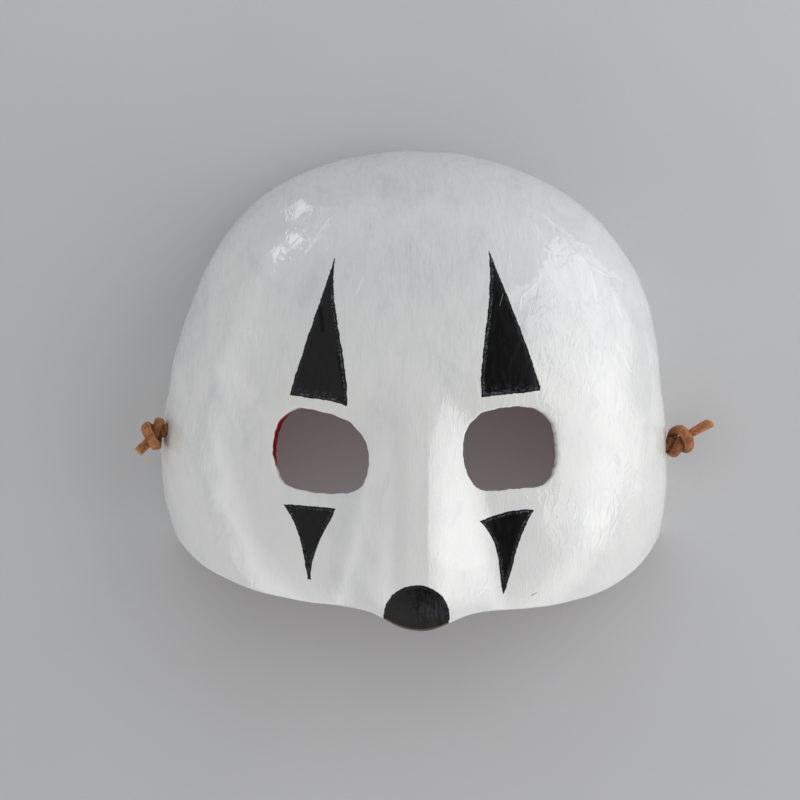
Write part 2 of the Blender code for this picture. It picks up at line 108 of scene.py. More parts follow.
BARE_LEFT_OF, BARE_SOFTNESS = -0.0405, 0.0006   # unpainted stretch of the left hole's cut face
BARE_Y, BARE_SPREAD = -0.0175, 0.0095
BARE_FROM = 0.15                    # share of the way through the wall

# Waves of the knife round the eye holes: height, length, direction and phase
CUT_WAVES = ((0.00011, 0.0057, (1.0, 0.0), 1.0), (0.00008, 0.0034, (0.0, 1.0), 0.0),
             (0.00006, 0.0021, (1.0, -1.0), 0.0))

# Unevenness of the pasted paper, and how much larger it is on the inner side
PAPER_WAVES, PAPER_RIPPLE = 0.00015, 0.00005
INNER_UNEVENNESS = 1.5
INNER_ROUNDING = 0.8                # share of the outer edges' rounding
FOOT_ROUNDING = 0.0022              # where the lower edge meets the rim
FLOOR_FADE = 0.0012                 # height in which the rim's inner edge is drawn to the floor

# Tie: its holes, the middle of the wall, the slack round the knots, and the ends of the tails
HOLE = 0.0043
DRILL_LENGTH = 0.016
HOLE_LEFT_Y, HOLE_LEFT_Z = -0.0150, 0.0215
HOLE_RIGHT_Y, HOLE_RIGHT_Z = -0.0207, 0.0120
WALL_MIDDLE = 0.0013
GAP = 0.0003
TAIL_REACH_LEFT, TAIL_REACH_RIGHT = 0.0113, 0.0158
TAIL_DROOP_LEFT, TAIL_SLANT_RIGHT = 0.0026, 0.6

# Knots: the distance of touching strands, then the steps of the tightening as shares of it
KNOT_PITCH = 0.0039
KNOT_LINK = 0.36                    # distance of neighbouring points in the tight knot
KNOT_APART = 1.5                    # strands push apart when they are farther along than this
KNOT_PULL, KNOT_SMOOTHING, KNOT_PUSH = 0.08, 0.3, 1.3
KNOT_POINTS, KNOT_ROUNDS = 60, 900
TREFOIL_END, TREFOIL_PITCH = 2.25, 2.9
KNOT_UP = (0.1, 0.3, 1.0)           # side of the loose knot that faces up before its turn
KNOT_TURN, KNOT_LEAN = 345.0, 11.0
KNOT_SQUASH = 0.86
KNOT_STEM, KNOT_BODY = 6, 18        # points of the straight root, and of each end beside the body
KNOT_OFFSET = 0.5

# Way of the tie inside the mask: down from the left, over the floor, and up on the right
TIE_DOWN = ((-0.0700, -0.0140, 0.0110), (-0.0630, -0.0090, 0.0045))
TIE_ON_FLOOR = ((-0.0590, 0.0000), (-0.0585, 0.0140), (-0.0570, 0.0310), (-0.0490, 0.0470),
                (-0.0350, 0.0560), (-0.0200, 0.0550), (-0.0090, 0.0440), (-0.0040, 0.0280),
                (0.0040, 0.0140), (0.0170, 0.0120), (0.0260, 0.0240), (0.0310, 0.0410),
                (0.0420, 0.0520), (0.0550, 0.0460), (0.0600, 0.0300), (0.0610, 0.0130),
                (0.0610, -0.0020))
TIE_UP = ((0.0660, -0.0130, 0.0045),)
TIE_STRAIGHT_LEFT, TIE_STRAIGHT_RIGHT = 0.006, 0.007
ABOVE_FLOOR = 0.00005

# Section of the leather: columns, exponent (2 is an ellipse), waves as height, length and phase,
# and the rings that close an end as their size and their way out
LACE_COLUMNS, LACE_POWER = 36, 2.9
LACE_WAVES = ((0.00005, 0.0031, 0.0), (0.00004, 0.0013, 1.0))
LACE_RINGS = ((0.93, 0.00018), (0.75, 0.00026), (0.35, 0.00028), (0.0, 0.00028))
LACE_GIRTH = 0.0098
SLANT_REACH, CUT_REACH = 0.004, 0.0008
LACE_UP = (0.02, 0.02, 1.02)        # thin way of the thong inside the mask, never quite its own way

# Along a knot's path, as shares of it: where its strands begin and end to press flat, each with
# the length of the change, how much wider and thinner they are there, and where the tail begins
PRESSED_FROM, PRESSED_TO = (0.08, 0.15), (0.86, 0.12)
PRESSED_WIDER, PRESSED_THINNER = 0.15, 0.02
TAIL_FROM, TAIL_BEND = 0.80, 1.3
THONG_FILL, KNOT_FILL = 0.96, 0.97  # share of the stated thickness that the leather fills

# Depth of the relief in the materials, in metres for a height of 1
PAINT_RELIEF, SUEDE_RELIEF, CARD_RELIEF = 0.0001, 0.00045, 0.00005

# Fineness of the meshes
EDGE_STEPS, CENTRE_STEPS = 210, 130
OUTER_ROWS, INNER_ROWS = 60, 28
ROUND_STEPS, WALL_STEPS = 4, 3
ROW_EVENNESS = 0.6                  # 1 for rows at even distances, less for closer ones at the ends
CURVE_STEPS = 20                    # steps between two given points of a smooth curve
HALVINGS = 40
SEAM = 0.000002                     # points nearer than this become one

# Painted marks in millimetres. Each edge is a list of points: x against y at the sides, y against
# x at the foot or top. Flecks run along the dotted edges.
MARK_UPPER_LEFT = {
    "left": ((43.0, -26.8), (36.0, -28.9), (27.9, -31.7), (15.3, -36.1), (5.3, -38.9),
             (-3.2, -41.7)),
    "right": ((43.0, -26.6), (38.8, -26.9), (28.6, -26.3), (22.2, -26.0), (14.5, -24.8),
              (5.2, -22.9), (-3.6, -22.3), (-7.0, -22.4)),
    "foot": ((-41.7, -3.2), (-34.8, -4.2), (-26.8, -5.6), (-22.5, -7.0)),
    "tip": 42.8,
    "dotted": ("right", "foot"),
}
MARK_UPPER_RIGHT = {
    "left": ((45.2, 25.3), (43.1, 25.2), (31.3, 25.4), (22.6, 24.4), (10.9, 23.1), (-1.8, 22.4),
             (-4.0, 22.5)),
    "right": ((45.2, 25.4), (30.8, 31.1), (17.9, 36.0), (-0.6, 42.4)),
    "foot": ((22.9, -4.0), (34.2, -2.7), (42.5, -1.8)),
    "tip": 45.6,
    "dotted": ("left", "foot"),
}
MARK_LOWER_LEFT = {
    "left": ((-39.8, -43.9), (-45.0, -40.6), (-49.3, -38.8), (-53.7, -37.7), (-59.4, -36.5),
             (-64.2, -35.7)),
    "right": ((-41.1, -26.1), (-45.8, -28.4), (-51.0, -31.0), (-56.7, -33.4), (-61.1, -34.3),
              (-64.4, -34.6)),
    "top": ((-43.9, -39.8), (-34.9, -40.3), (-26.1, -41.1)),
    "tip": -65.0,
    "dotted": ("left", "right", "top"),
}
MARK_LOWER_RIGHT = {
    "left": ((-45.4, 22.0), (-48.2, 24.4), (-53.0, 26.8), (-62.7, 28.8), (-69.5, 29.8)),
    "right": ((-41.9, 40.1), (-46.6, 37.5), (-52.5, 35.1), (-61.1, 32.8), (-69.5, 30.2)),
    "top": ((22.0, -45.2), (26.4, -43.6), (31.7, -42.3), (36.7, -41.3), (39.9, -41.6)),
    "tip": -69.9,
    "dotted": ("left", "right", "top"),
}
MARKS = (MARK_UPPER_LEFT, MARK_UPPER_RIGHT, MARK_LOWER_LEFT, MARK_LOWER_RIGHT)
NOSE_DISC = (0.8, -77.0, 11.0)      # centre and radius seen from the front

# Raised lines in the enamel, also painted lighter as painted glints, lines of painted shade beside
# raised strokes, darker streaks and a scratch in the marks, and dark specks: both ends in millimetres
CREASES = (((-28.8, 56.5), (-36.8, 44.4)), ((-31.6, 50.6), (-35.6, 45.9)),
           ((-17.4, 36.0), (-19.4, 30.6)),
           ((41.3, 43.6), (42.6, 36.7)), ((42.6, 36.7), (36.1, 29.9)), ((36.1, 29.9), (35.8, 25.7)),
           ((55.5, 47.9), (60.0, 46.2)), ((60.0, 46.2), (64.5, 41.0)), ((64.5, 41.0), (71.4, 36.5)),
           ((56.6, 43.6), (60.0, 40.6)), ((60.0, 40.6), (69.1, 37.6)), ((60.0, 38.0), (62.3, 28.9)),
           ((67.5, 31.2), (71.0, 22.5)), ((69.0, 14.2), (73.8, 4.2)), ((57.6, 11.8), (58.4, 6.5)))
# Lines of painted shade beside raised strokes, drawn in the thin white
SHADE_LINES = (((15.8, -39.5), (12.5, -46.3)), ((-28.0, -37.5), (-21.0, -36.2)))
DARK_STREAKS = (((-31.4, 26.5), (-30.6, 18.5)), ((-25.0, 9.0), (-23.4, 0.5)))
SCRATCH = (((29.9, 30.7), (29.4, 28.9)), ((29.4, 28.9), (28.7, 26.7)))
SPECKS = (((39.7, -70.5), (41.1, -69.7)), ((46.8, -26.6), (47.1, -27.2)))

# Lights of the stage: place, direction and size, then the setting that gives the brightness, the
# share of it, and the spread in degrees
LIGHTS = {
    "panel_right": ((0.60, 0.300, 0.49), (-1.0, 0.0, 0.0), (0.90, 0.96), "panel_right", 1.0, 180.0),
    "panel_low_right": ((0.37, 0.16, 0.004), (0.0, 0.0, 1.0), (0.40, 0.40), "panel_low", 1.0, 180.0),
    "panel_dim_right": ((0.60, -0.240, 0.49), (-1.0, 0.0, 0.0), (0.18, 0.96), "panel_right", 0.5, 180.0),
    "lamp_upper_left": ((-0.63, 0.855, 0.22), (0.6, -0.8, -0.2), (0.19, 0.15), "lamps", 1.0, 180.0),
    "lamp_low_left": ((-0.088, 0.148, 0.020), (0.48, -0.88, 0.12), (0.019, 0.030), "lamps", 1.0, 60.0),
}
FLOOR_LEVEL = -0.0001               # a little under the rim


def bump(distance, spread):
    """Smooth hill that is 1 at distance 0 and fades over the spread."""
    return np.exp(-(distance / spread) ** 2)


def unit(vectors):
    """The vectors at length 1."""
    return vectors / np.linalg.norm(vectors, axis=-1, keepdims=True)


def halving(low, high, is_inside):
    """Where a test that holds at low and fails at high stops holding, for whole arrays."""
    for _ in range(HALVINGS):
        middle = (low + high) / 2.0
        inside = is_inside(middle)
        low, high = np.where(inside, middle, low), np.where(inside, high, middle)
    return low


def outline_table(count=1440):
    """Radius of the form's outline about the centre: where a superellipse's sum of powers is 1,
    found by halving, less the flatter stretches."""
    angle = np.linspace(0.0, 2.0 * pi, count, endpoint=False)
    side, along = np.abs(np.cos(angle)), np.abs(np.sin(angle))
    upper = np.sin(angle) > 0.0
    length = np.where(upper, TOP - CENTRE[1], FORM_BELOW)
    side_power = np.where(upper, UPPER_SIDE, LOWER_SIDE)
    along_power = np.where(upper, UPPER_TOP, LOWER_END)

    def is_inside(radius):
        """Whether a point at this distance lies inside the superellipse."""
        sideways, lengthways = radius * side / HALF_WIDTH, radius * along / length
        return sideways ** side_power + lengthways ** along_power < 1.0

    radius = halving(np.zeros(count), np.full(count, 0.2), is_inside)
    for at, width, depth in FLATS:
        radius = radius - depth * bump(np.degrees(angle) - at, width)
    return angle, radius


OUTLINE_ANGLE, OUTLINE_RADIUS = outline_table()


def outline_radius(angle):
    """Radius of the outline at given angles about the centre."""
    return np.interp(angle, OUTLINE_ANGLE, OUTLINE_RADIUS, period=2.0 * pi)


def nose_relief(x, y):
    """Ridge with a flat top and cosine flanks that rises and widens down to the tip. The right
    flank leaves the ridge at a slope: a share of it is a parabola."""
    down = np.clip((NOSE_TOP_Y - y) / (NOSE_TOP_Y - NOSE_TIP_Y), 0.0, 1.0)
    height = NOSE_HEIGHT * np.sin(down * pi / 2.0) ** NOSE_RISE
    spread = NOSE_SPREAD_TOP + (NOSE_SPREAD_TIP - NOSE_SPREAD_TOP) * down
    flank = np.clip((np.abs(x - NOSE_X) - NOSE_RIDGE) / (spread - NOSE_RIDGE), 0.0, 1.0)
    roll = NOSE_ROLL * np.clip((NOSE_ROLL_Y - y) / NOSE_ROLL_RUN, 0.0, 1.3) ** 2
    steep = NOSE_STEEP * np.clip((x - NOSE_X) / NOSE_RIDGE, 0.0, 1.0)
    fall = (1.0 - steep) * (1.0 + np.cos(pi * flank)) / 2.0 + steep * (1.0 - flank) ** 2
    return (height - roll) * fall


def relief(x, y):
    """Height that nose, eye sockets, cheeks and brow add to the plain dome."""
    total = nose_relief(x, y)
    for side, (eye_x, eye_y) in zip((-1.0, 1.0), EYE_CENTRES):
        total -= SOCKET_DEPTH * bump(np.hypot(x - eye_x, y - eye_y), SOCKET_SPREAD)
        total += CHEEK_RISE * bump(np.hypot(x - side * CHEEK_X, y - CHEEK_Y), CHEEK_SPREAD)
    return total + BROW_RISE * bump(y - BROW_Y, BROW_SPREAD) * bump(x, BROW_WIDTH)


def relief_share(share):
    """Share of the relief that is left near the outline: a smooth step."""
    inside = np.clip((1.0 - share) / RELIEF_FADE, 0.0, 1.0)
    return inside ** 2 * (3.0 - 2.0 * inside)


def dome_height(share):
    """Height of the plain dome: one minus a power of the share of the way out, to a power."""
    fall = np.clip(1.0 - np.clip(share, 0.0, 1.0) ** FACE_FLATNESS, 0.0, 1.0)
    return RIM_HEIGHT + (FACE_HEIGHT - RIM_HEIGHT) * fall ** FACE_FALL


def outline_share(x, y):
    """How far out a point of the plan lies between the centre and the outline."""
    angle = np.arctan2(y - CENTRE[1], x - CENTRE[0])
    return np.hypot(x - CENTRE[0], y - CENTRE[1]) / outline_radius(angle)


def face_height(x, y):
    """Height of the outer surface over the plan: dome and relief."""
    share = np.clip(outline_share(x, y), 0.0, 1.0)
    return dome_height(share) + relief(x, y) * relief_share(share)


def rim_share(z):
    """Share of the outline that the side wall reaches below its upright stretch."""
    return 1.0 - RIM_TUCK * (1.0 - z / RIM_HEIGHT) ** 2


def meridian_table(count=6000):
    """Way walked over the dome from its centre against share and height, and its full length."""
    share = np.sin(np.linspace(0.0, pi / 2.0, count))
    height = dome_height(share)
    radius = OUTLINE_RADIUS.mean()
    steps = np.hypot(np.diff(share) * radius, np.diff(height))
    walked = np.concatenate([[0.0], np.cumsum(steps)])
    return share, height, walked / walked[-1], walked[-1]


SHARE, DOME, WALKED, MERIDIAN = meridian_table()
CHART_RIM = 1.0 + RIM_HEIGHT / MERIDIAN


def outer_point(chart):
    """Outer surface over a place of the chart. The direction from the centre is kept, and the
    distance from it is the way walked over the dome and down the side wall."""
    far = np.hypot(chart[..., 0], chart[..., 1])
    angle = np.arctan2(chart[..., 1], chart[..., 0])
    wall_z = RIM_HEIGHT - (far - 1.0) * MERIDIAN
    on_dome = far < 1.0
    share = np.where(on_dome, np.interp(far, WALKED, SHARE), rim_share(np.minimum(wall_z, RIM_HEIGHT)))
    radius = outline_radius(angle) * share
    x = CENTRE[0] + radius * np.cos(angle)
    y = CENTRE[1] + radius * np.sin(angle)
    dome = np.interp(far, WALKED, DOME) + relief(x, y) * relief_share(share)
    return np.stack([x, y, np.where(on_dome, dome, wall_z)], axis=-1)


def outward(chart, step=0.0003):
    """Unit vectors square on the outer surface: cross product of its slopes along the chart."""
    across = outer_point(chart + (step, 0.0)) - outer_point(chart - (step, 0.0))
    along = outer_point(chart + (0.0, step)) - outer_point(chart - (0.0, step))
    return unit(np.cross(across, along))


def bent_wave(along, across, length, bend, bend_length, phase):
    """Sine wave along one coordinate, bent by a slower one along the other."""
    return np.sin(2.0 * pi * (along / length + bend * np.sin(2.0 * pi * across / bend_length)) + phase)


def handwork(points):
    """Unevenness of pasted paper, in metres: two slow waves times each other, and a ripple."""
    x, y, z = points[..., 0], points[..., 1], points[..., 2]
    first = bent_wave(x, y, 0.031, 0.35, 0.057, 0.7)
    second = bent_wave(y, x, 0.037, 0.30, 0.049, 2.1)
    ripple = np.sin(2.0 * pi * ((x + y) / 0.019 + z / 0.023) + 4.0)
    return PAPER_WAVES * first * second + PAPER_RIPPLE * ripple


def outer_face(chart):
    """Outer surface with its unevenness, which moves it along its upright."""
    plain = outer_point(chart)
    return plain + outward(chart) * handwork(plain)[..., None]


def inner_face(chart, wall):
    """Inner surface: the outer one moved in by the wall, its own unevenness a little larger."""
    plain = outer_point(chart)
    uneven = INNER_UNEVENNESS * handwork(plain[..., [1, 0, 2]])
    return plain - outward(chart) * (wall + uneven)[..., None]


def polar(far, angle):
    """Points at given distances and angles about the origin."""
    return np.stack([far * np.cos(angle), far * np.sin(angle)], axis=-1)


def chart_of_plan(x, y):
    """Place in the chart of a point of the plan that lies inside the outline."""
    far = np.interp(outline_share(x, y), SHARE, WALKED)
    return polar(far, np.arctan2(y - CENTRE[1], x - CENTRE[0]))


def way_walked(path):
    """Distance along a path from its start to each of its points."""
    steps = np.linalg.norm(np.diff(path, axis=0), axis=1)
    return np.concatenate([[0.0], np.cumsum(steps)])


def evenly(path, count):
    """Points at even distances along a path."""
    walked = way_walked(path)
    at = np.linspace(0.0, walked[-1], count)
    return np.stack([np.interp(at, walked, column) for column in path.T], axis=1)


def cubic_pieces(before, start, end, beyond):
    """Points of a smooth curve. Each piece is a cubic from start to end whose slopes at both are
    those of the chords between the points next to them."""
    t = np.linspace(0.0, 1.0, CURVE_STEPS, endpoint=False)[:, None, None]
    curve = (start * (2.0 - 5.0 * t ** 2 + 3.0 * t ** 3) + before * (2.0 * t ** 2 - t - t ** 3)
             + end * (t + 4.0 * t ** 2 - 3.0 * t ** 3) + beyond * (t ** 3 - t ** 2)) / 2.0
    return curve.transpose(1, 0, 2).reshape(-1, start.shape[1])


def smooth_loop(points, count):
    """Even points along a smooth closed curve through the given ones."""
    given = np.array(points)
    curve = cubic_pieces(np.roll(given, 1, 0), given, np.roll(given, -1, 0), np.roll(given, -2, 0))
    return evenly(np.vstack([curve, curve[:1]]), count + 1)[:-1]


def smooth_path(points, count):
    """Even points along a smooth open curve through the given ones."""
    given = np.array(points)
    padded = np.vstack([2.0 * given[0] - given[1], given, 2.0 * given[-1] - given[-2]])
    curve = cubic_pieces(padded[:-3], padded[1:-2], padded[2:-1], padded[3:])
    return evenly(np.vstack([curve, given[-1:]]), count)


def quadratic(t, start, corner, end):
    """Quadratic curve from start to end, drawn towards the corner."""
    return (1.0 - t) ** 2 * start + 2.0 * t * (1.0 - t) * corner + t ** 2 * end


def lower_edge_depth(x):
    """Distance of the lower edge below the centre: two superellipses and the nose's drop."""
    depths = []
    for side_power, end_power, depth in (EDGE_LEFT, EDGE_RIGHT):
        inside = np.clip(1.0 - np.abs(x / EDGE_REACH) ** side_power, 0.0, 1.0)
        depths.append(depth * inside ** (1.0 / end_power))
    to_right = 0.5 + 0.5 * np.tanh(x / EDGE_BLEND)
    drop = NOSE_EDGE_DROP * np.exp(-np.abs((x - NOSE_X) / NOSE_EDGE_SPREAD) ** NOSE_EDGE_POWER)
    return depths[0] * (1.0 - to_right) + depths[1] * to_right + drop


def wall_chart(side, y, z):
    """Places in the chart of the side wall at given levels and heights, found by halving."""
    def is_inside(x):
        """Whether the wall, or the face where z is above the wall, lies farther out than x."""
        share = outline_share(side * x, y)
        on_face = (share < 1.0) & (face_height(side * x, y) > z)
        return np.where(z >= RIM_HEIGHT, on_face, share < rim_share(np.minimum(z, RIM_HEIGHT)))

    x = side * halving(np.full(y.shape, 0.5 * HALF_WIDTH), np.full(y.shape, HALF_WIDTH), is_inside)
    on_dome = np.interp(outline_share(x, y), SHARE, WALKED)
    far = np.where(z < RIM_HEIGHT, 1.0 + (RIM_HEIGHT - z) / MERIDIAN, on_dome)
    return polar(far, np.arctan2(y - CENTRE[1], x))


def lower_edge_chart():
    """The lower edge in the chart from foot to foot: over the face, then down each side wall,
    where its slope dies away exponentially."""
    turn = np.linspace(-pi / 2.0, pi / 2.0, 1200)
    x = EDGE_REACH * np.sin(turn)
    y = CENTRE[1] - lower_edge_depth(x)
    share = outline_share(x, y)
    on_face = share < 1.0
    pull_in = 1.0 - EDGE_SOFTNESS * np.log1p(np.exp((share - 1.0) / EDGE_SOFTNESS)) / share
    x = CENTRE[0] + (x - CENTRE[0])[on_face] * pull_in[on_face]
    y = CENTRE[1] + (y - CENTRE[1])[on_face] * pull_in[on_face]
    path = np.stack([x, y, face_height(x, y)], axis=1)
    path = evenly(path[path[:, 2] > EDGE_CORNER_Z], 240)
    corners = []
    for side, last, previous in ((-1.0, path[0], path[4]), (1.0, path[-1], path[-5])):
        slope = (last[1] - previous[1]) / (previous[2] - last[2])
        down = np.linspace(last[2], 0.0, 40)[1:]
        back = last[1] + slope * EDGE_CORNER_BEND * (1.0 - np.exp((down - last[2]) / EDGE_CORNER_BEND))
        corners.append(wall_chart(side, back, down))
    return np.vstack([corners[0][::-1], chart_of_plan(path[:, 0], path[:, 1]), corners[1]])


def eased(path, corner, reach):
    """The path with its corner replaced by a quadratic curve that starts and ends at the reach."""
    away = np.linalg.norm(path - corner, axis=1)
    at = int(np.argmin(away))
    start = at - int(np.argmax(away[at::-1] > reach))
    end = at + int(np.argmax(away[at:] > reach))
    t = np.linspace(0.0, 1.0, 24)[:, None]
    return np.vstack([path[:start], quadratic(t, path[start], corner, path[end]), path[end + 1:]])


def half_perimeter(side, edge):
    """Outer boundary of one half in the chart, from the middle of the lower edge round the side
    to the top of the rim."""
    middle = np.interp(0.0, edge[:, 0], edge[:, 1])
    half = edge[edge[:, 0] * side > 0.0]
    half = half if side > 0.0 else half[::-1]
    foot = half[-1]
    start = np.arctan2(foot[1], foot[0] * side)
    angle = np.linspace(start, pi / 2.0, 600)
    rim = polar(CHART_RIM, angle) * (side, 1.0)
    rim[-1, 0] = 0.0
    path = evenly(np.vstack([[0.0, middle], half, rim[1:]]), 4000)
    return evenly(eased(path, foot, FOOT_ROUNDING / MERIDIAN), EDGE_STEPS)


def inset(loop, side, depth, closed):
    """A boundary of the chart moved to its left or right by a depth in metres."""
    if closed:
        along = np.roll(loop, -1, 0) - np.roll(loop, 1, 0)
    else:
        along = np.gradient(loop, axis=0)
    along = unit(along)
    aside = np.stack([-along[:, 1], along[:, 0]], axis=1)
    moved = loop + side * aside * depth / MERIDIAN
    if not closed:
        moved[[0, -1], 0] = 0.0
    return moved


def round_corner(start, corner, end):
    """Rows of points that round over a corner between two rows, which are left out."""
    return quadratic(np.linspace(0.0, 1.0, ROUND_STEPS + 1)[1:-1, None, None], start, corner, end)


def cut_face(outer_row, outer_corner, inner_corner, inner_row, roundings):
    """Rows across a cut edge: rounded over, straight through the wall, and rounded again."""
    through = unit(inner_corner - outer_corner)
    first = outer_corner + through * roundings[0]
    last = inner_corner - through * roundings[1]
    t = np.linspace(0.0, 1.0, WALL_STEPS)[:, None, None]
    rows = [outer_row[None], round_corner(outer_row, outer_corner, first),
            first + (last - first) * t, round_corner(last, inner_corner, inner_row), inner_row[None]]
    return np.concatenate(rows)


def grid_faces(rows, columns, first, closed):
    """Quads of a grid whose points are numbered row by row."""
    row = np.arange(rows - 1)[:, None] * columns
    column = np.arange(columns if closed else columns - 1)[None, :]
    following = (column + 1) % columns
    below = row + columns
    corners = np.stack([row + column, row + following, below + following, below + column], axis=-1)
    return corners.reshape(-1, 4) + first


def closed_mesh(name, points, faces, values, along=None):
    """A closed mesh with its seams merged and its faces outward. Values go to float attributes of
    the points, and along gives a UV place to each corner of each face."""
    made = bpy.data.meshes.new(name)
    made.from_pydata(points, [], faces)
    for attribute, numbers in values.items():
        layer = made.attributes.new(attribute, "FLOAT", "POINT")
        layer.data.foreach_set("value", numbers.astype(np.float32))
    if along is not None:
        uv = made.uv_layers.new(name="along")
        uv.data.foreach_set("uv", along.reshape(-1).astype(np.float32))
    work = bmesh.new()
    work.from_mesh(made)
    bmesh.ops.remove_doubles(work, verts=work.verts, dist=SEAM)
    bmesh.ops.recalc_face_normals(work, faces=work.faces)
    work.to_mesh(made)
    work.free()
    made.polygons.foreach_set("use_smooth", np.ones(len(made.polygons), dtype=bool))
    return made


class Builder:
    """Collects grids of points, their faces and one value for each point."""

    def __init__(self):
        self.points, self.faces, self.values, self.count = [], [], [], 0

    def grid(self, points, values, closed):
        """Adds a grid of rows by columns of points."""
        rows, columns = points.shape[:2]
        self.faces.append(grid_faces(rows, columns, self.count, closed))
        self.points.append(points.reshape(-1, 3))
        self.values.append(np.broadcast_to(values, (rows, columns)).reshape(-1))
        self.count += rows * columns

    def mesh(self, name, attribute):
        """One closed mesh of all grids, with the values as an attribute."""
        parts = [np.concatenate(part) for part in (self.points, self.faces, self.values)]
        return closed_mesh(name, parts[0], parts[1], {attribute: parts[2]})


def rows_between(inner, outer, count):
    """Rows of the chart between two loops, closer together at both of them."""
    even = np.linspace(0.0, 1.0, count)
    eased_in = 0.5 - 0.5 * np.cos(pi * even)
    way = ROW_EVENNESS * even + (1.0 - ROW_EVENNESS) * eased_in
    return inner + (outer - inner) * way[:, None, None]


def at_angles(loop, centre, angles):
    """Points of a closed loop at given angles about a point inside it."""
    own = np.arctan2(loop[:, 1] - centre[1], loop[:, 0] - centre[0])
    order = np.argsort(own)
    return np.stack([np.interp(angles, own[order], loop[order, axis], period=2.0 * pi)
                     for axis in (0, 1)], axis=1)


def eye_cut(side, wall):
    """Outline of an eye hole in the chart, on the outer and on the inner side. The knife leaned
    off the surface's upright, so it came out a little beside its way in."""
    points, lean = (EYE_RIGHT, KNIFE_LEAN_RIGHT) if side > 0.0 else (EYE_LEFT, KNIFE_LEAN_LEFT)
    eye = smooth_loop(points, EYE_POINTS)
    uneven = sum(height * np.sin(2.0 * pi * (eye @ direction) / length + phase)
                 for height, length, direction, phase in CUT_WAVES)
    eye += unit(eye - eye.mean(axis=0)) * uneven[:, None]
    outside = chart_of_plan(eye[:, 0], eye[:, 1])
    upright = outward(outside)
    knife = unit(upright + (*lean, 0.0))
    straight = np.sum(knife * upright, axis=1, keepdims=True)
    slip = (upright - knife / straight) * wall
    return outside, chart_of_plan(eye[:, 0] + slip[:, 0], eye[:, 1] + slip[:, 1])


def half_shell(builder, side, edge, sizes):
    """One half of the shell: outer and inner sheet between the eye hole and the boundary, and
    the cut faces that join them."""
    wall = sizes.wall
    rounding = sizes.edge_rounding
    inner_rounding = INNER_ROUNDING * rounding
    centre = chart_of_plan(*np.array(EYE_CENTRES[1] if side > 0.0 else EYE_CENTRES[0]))
    border = half_perimeter(side, edge)
    eye, inner_eye = eye_cut(side, wall)
    following = np.roll(eye, -1, 0)
    turning = np.sign(np.sum(eye[:, 0] * following[:, 1] - eye[:, 1] * following[:, 0]))

    def loop(depth):
        """The half's outer boundary, in by a depth, closed by the middle line of the mask."""
        rim = inset(border, side, depth, False)
        line = np.linspace(rim[-1], rim[0], CENTRE_STEPS + 2)[1:-1]
        return np.vstack([rim, line])

    full = loop(rounding)
    angles = np.arctan2(full[:, 1] - centre[1], full[:, 0] - centre[0])
    hole = at_angles(eye, centre, angles)
    hole_out = at_angles(inset(eye, -turning, rounding, True), centre, angles)
    hole_in = at_angles(inner_eye, centre, angles)
    hole_in_out = at_angles(inset(inner_eye, -turning, inner_rounding, True), centre, angles)

    outer = outer_face(rows_between(hole_out, full, OUTER_ROWS))
    inner = inner_face(rows_between(hole_in_out, loop(inner_rounding), INNER_ROWS), wall)
    builder.grid(outer, 0.0, True)
    builder.grid(inner, 1.0, True)

    through = np.linspace(0.0, 1.0, 2 * ROUND_STEPS + WALL_STEPS)[:, None]
    strip = cut_face(outer[0], outer_face(hole), inner_face(hole_in, wall), inner[0],
                     (rounding, inner_rounding))
    bare = bare_wall(side, hole) * (through > BARE_FROM)
    builder.grid(strip, np.clip(through + bare, 0.0, 1.0), True)

    corner = outer_face(border)
    inner_corner = inner_face(border, wall)
    inner_corner[:, 2] *= 1.0 - bump(corner[:, 2], FLOOR_FADE)
    strip = cut_face(outer[-1, :EDGE_STEPS], corner, inner_corner, inner[-1, :EDGE_STEPS],
                     (rounding, inner_rounding))
    builder.grid(strip, through, False)


def bare_wall(side, hole):
    """1 where the left hole's cut face was never painted white: from its left to its top."""
    if side > 0.0:
        return 0.0
    place = outer_point(hole)
    on_left = 1.0 / (1.0 + np.exp((place[:, 0] - BARE_LEFT_OF) / BARE_SOFTNESS))
    return on_left * bump(place[:, 1] - BARE_Y, BARE_SPREAD)


def shell_mesh(sizes):
    """Both halves of the shell in one mesh, with 1 on the lining and 0 on the outer side."""
    builder = Builder()
    edge = lower_edge_chart()
    for side in (-1.0, 1.0):
        half_shell(builder, side, edge, sizes)
    return builder.mesh("painted_shell", "lining")


def hole_places():
    """Outer ends of the two tie holes, and the wall's outward directions there."""
    places = []
    for side, y, z in ((-1.0, HOLE_LEFT_Y, HOLE_LEFT_Z), (1.0, HOLE_RIGHT_Y, HOLE_RIGHT_Z)):
        chart = wall_chart(side, np.array([y]), np.array([z]))
        direction = outward(chart)[0] * (1.0, 0.0, 1.0)
        direction = unit(direction) if z > RIM_HEIGHT + 0.001 else np.array([side, 0.0, 0.0])
        places.append((outer_point(chart)[0], direction))
    return places


def drill(shell, place, direction):
    """Cuts a round tie hole through the wall, and keeps the result."""
    work = bmesh.new()
    turn = Vector((0.0, 0.0, 1.0)).rotation_difference(Vector(direction)).to_matrix().to_4x4()
    bmesh.ops.create_cone(work, cap_ends=True, segments=32, radius1=HOLE / 2.0, radius2=HOLE / 2.0,
                          depth=DRILL_LENGTH, matrix=Matrix.Translation(place) @ turn)
    mesh = bpy.data.meshes.new("drill")
    work.to_mesh(mesh)
    work.free()
    tool = bpy.data.objects.new("drill", mesh)
    bpy.context.scene.collection.objects.link(tool)
    step = shell.modifiers.new("hole", "BOOLEAN")
    step.operation = "DIFFERENCE"
    step.solver = "EXACT"
    step.object = tool
    bpy.context.view_layer.update()
    result = bpy.data.meshes.new_from_object(shell.evaluated_get(bpy.context.evaluated_depsgraph_get()))
    shell.modifiers.clear()
    shell.data = result
    bpy.data.objects.remove(tool)


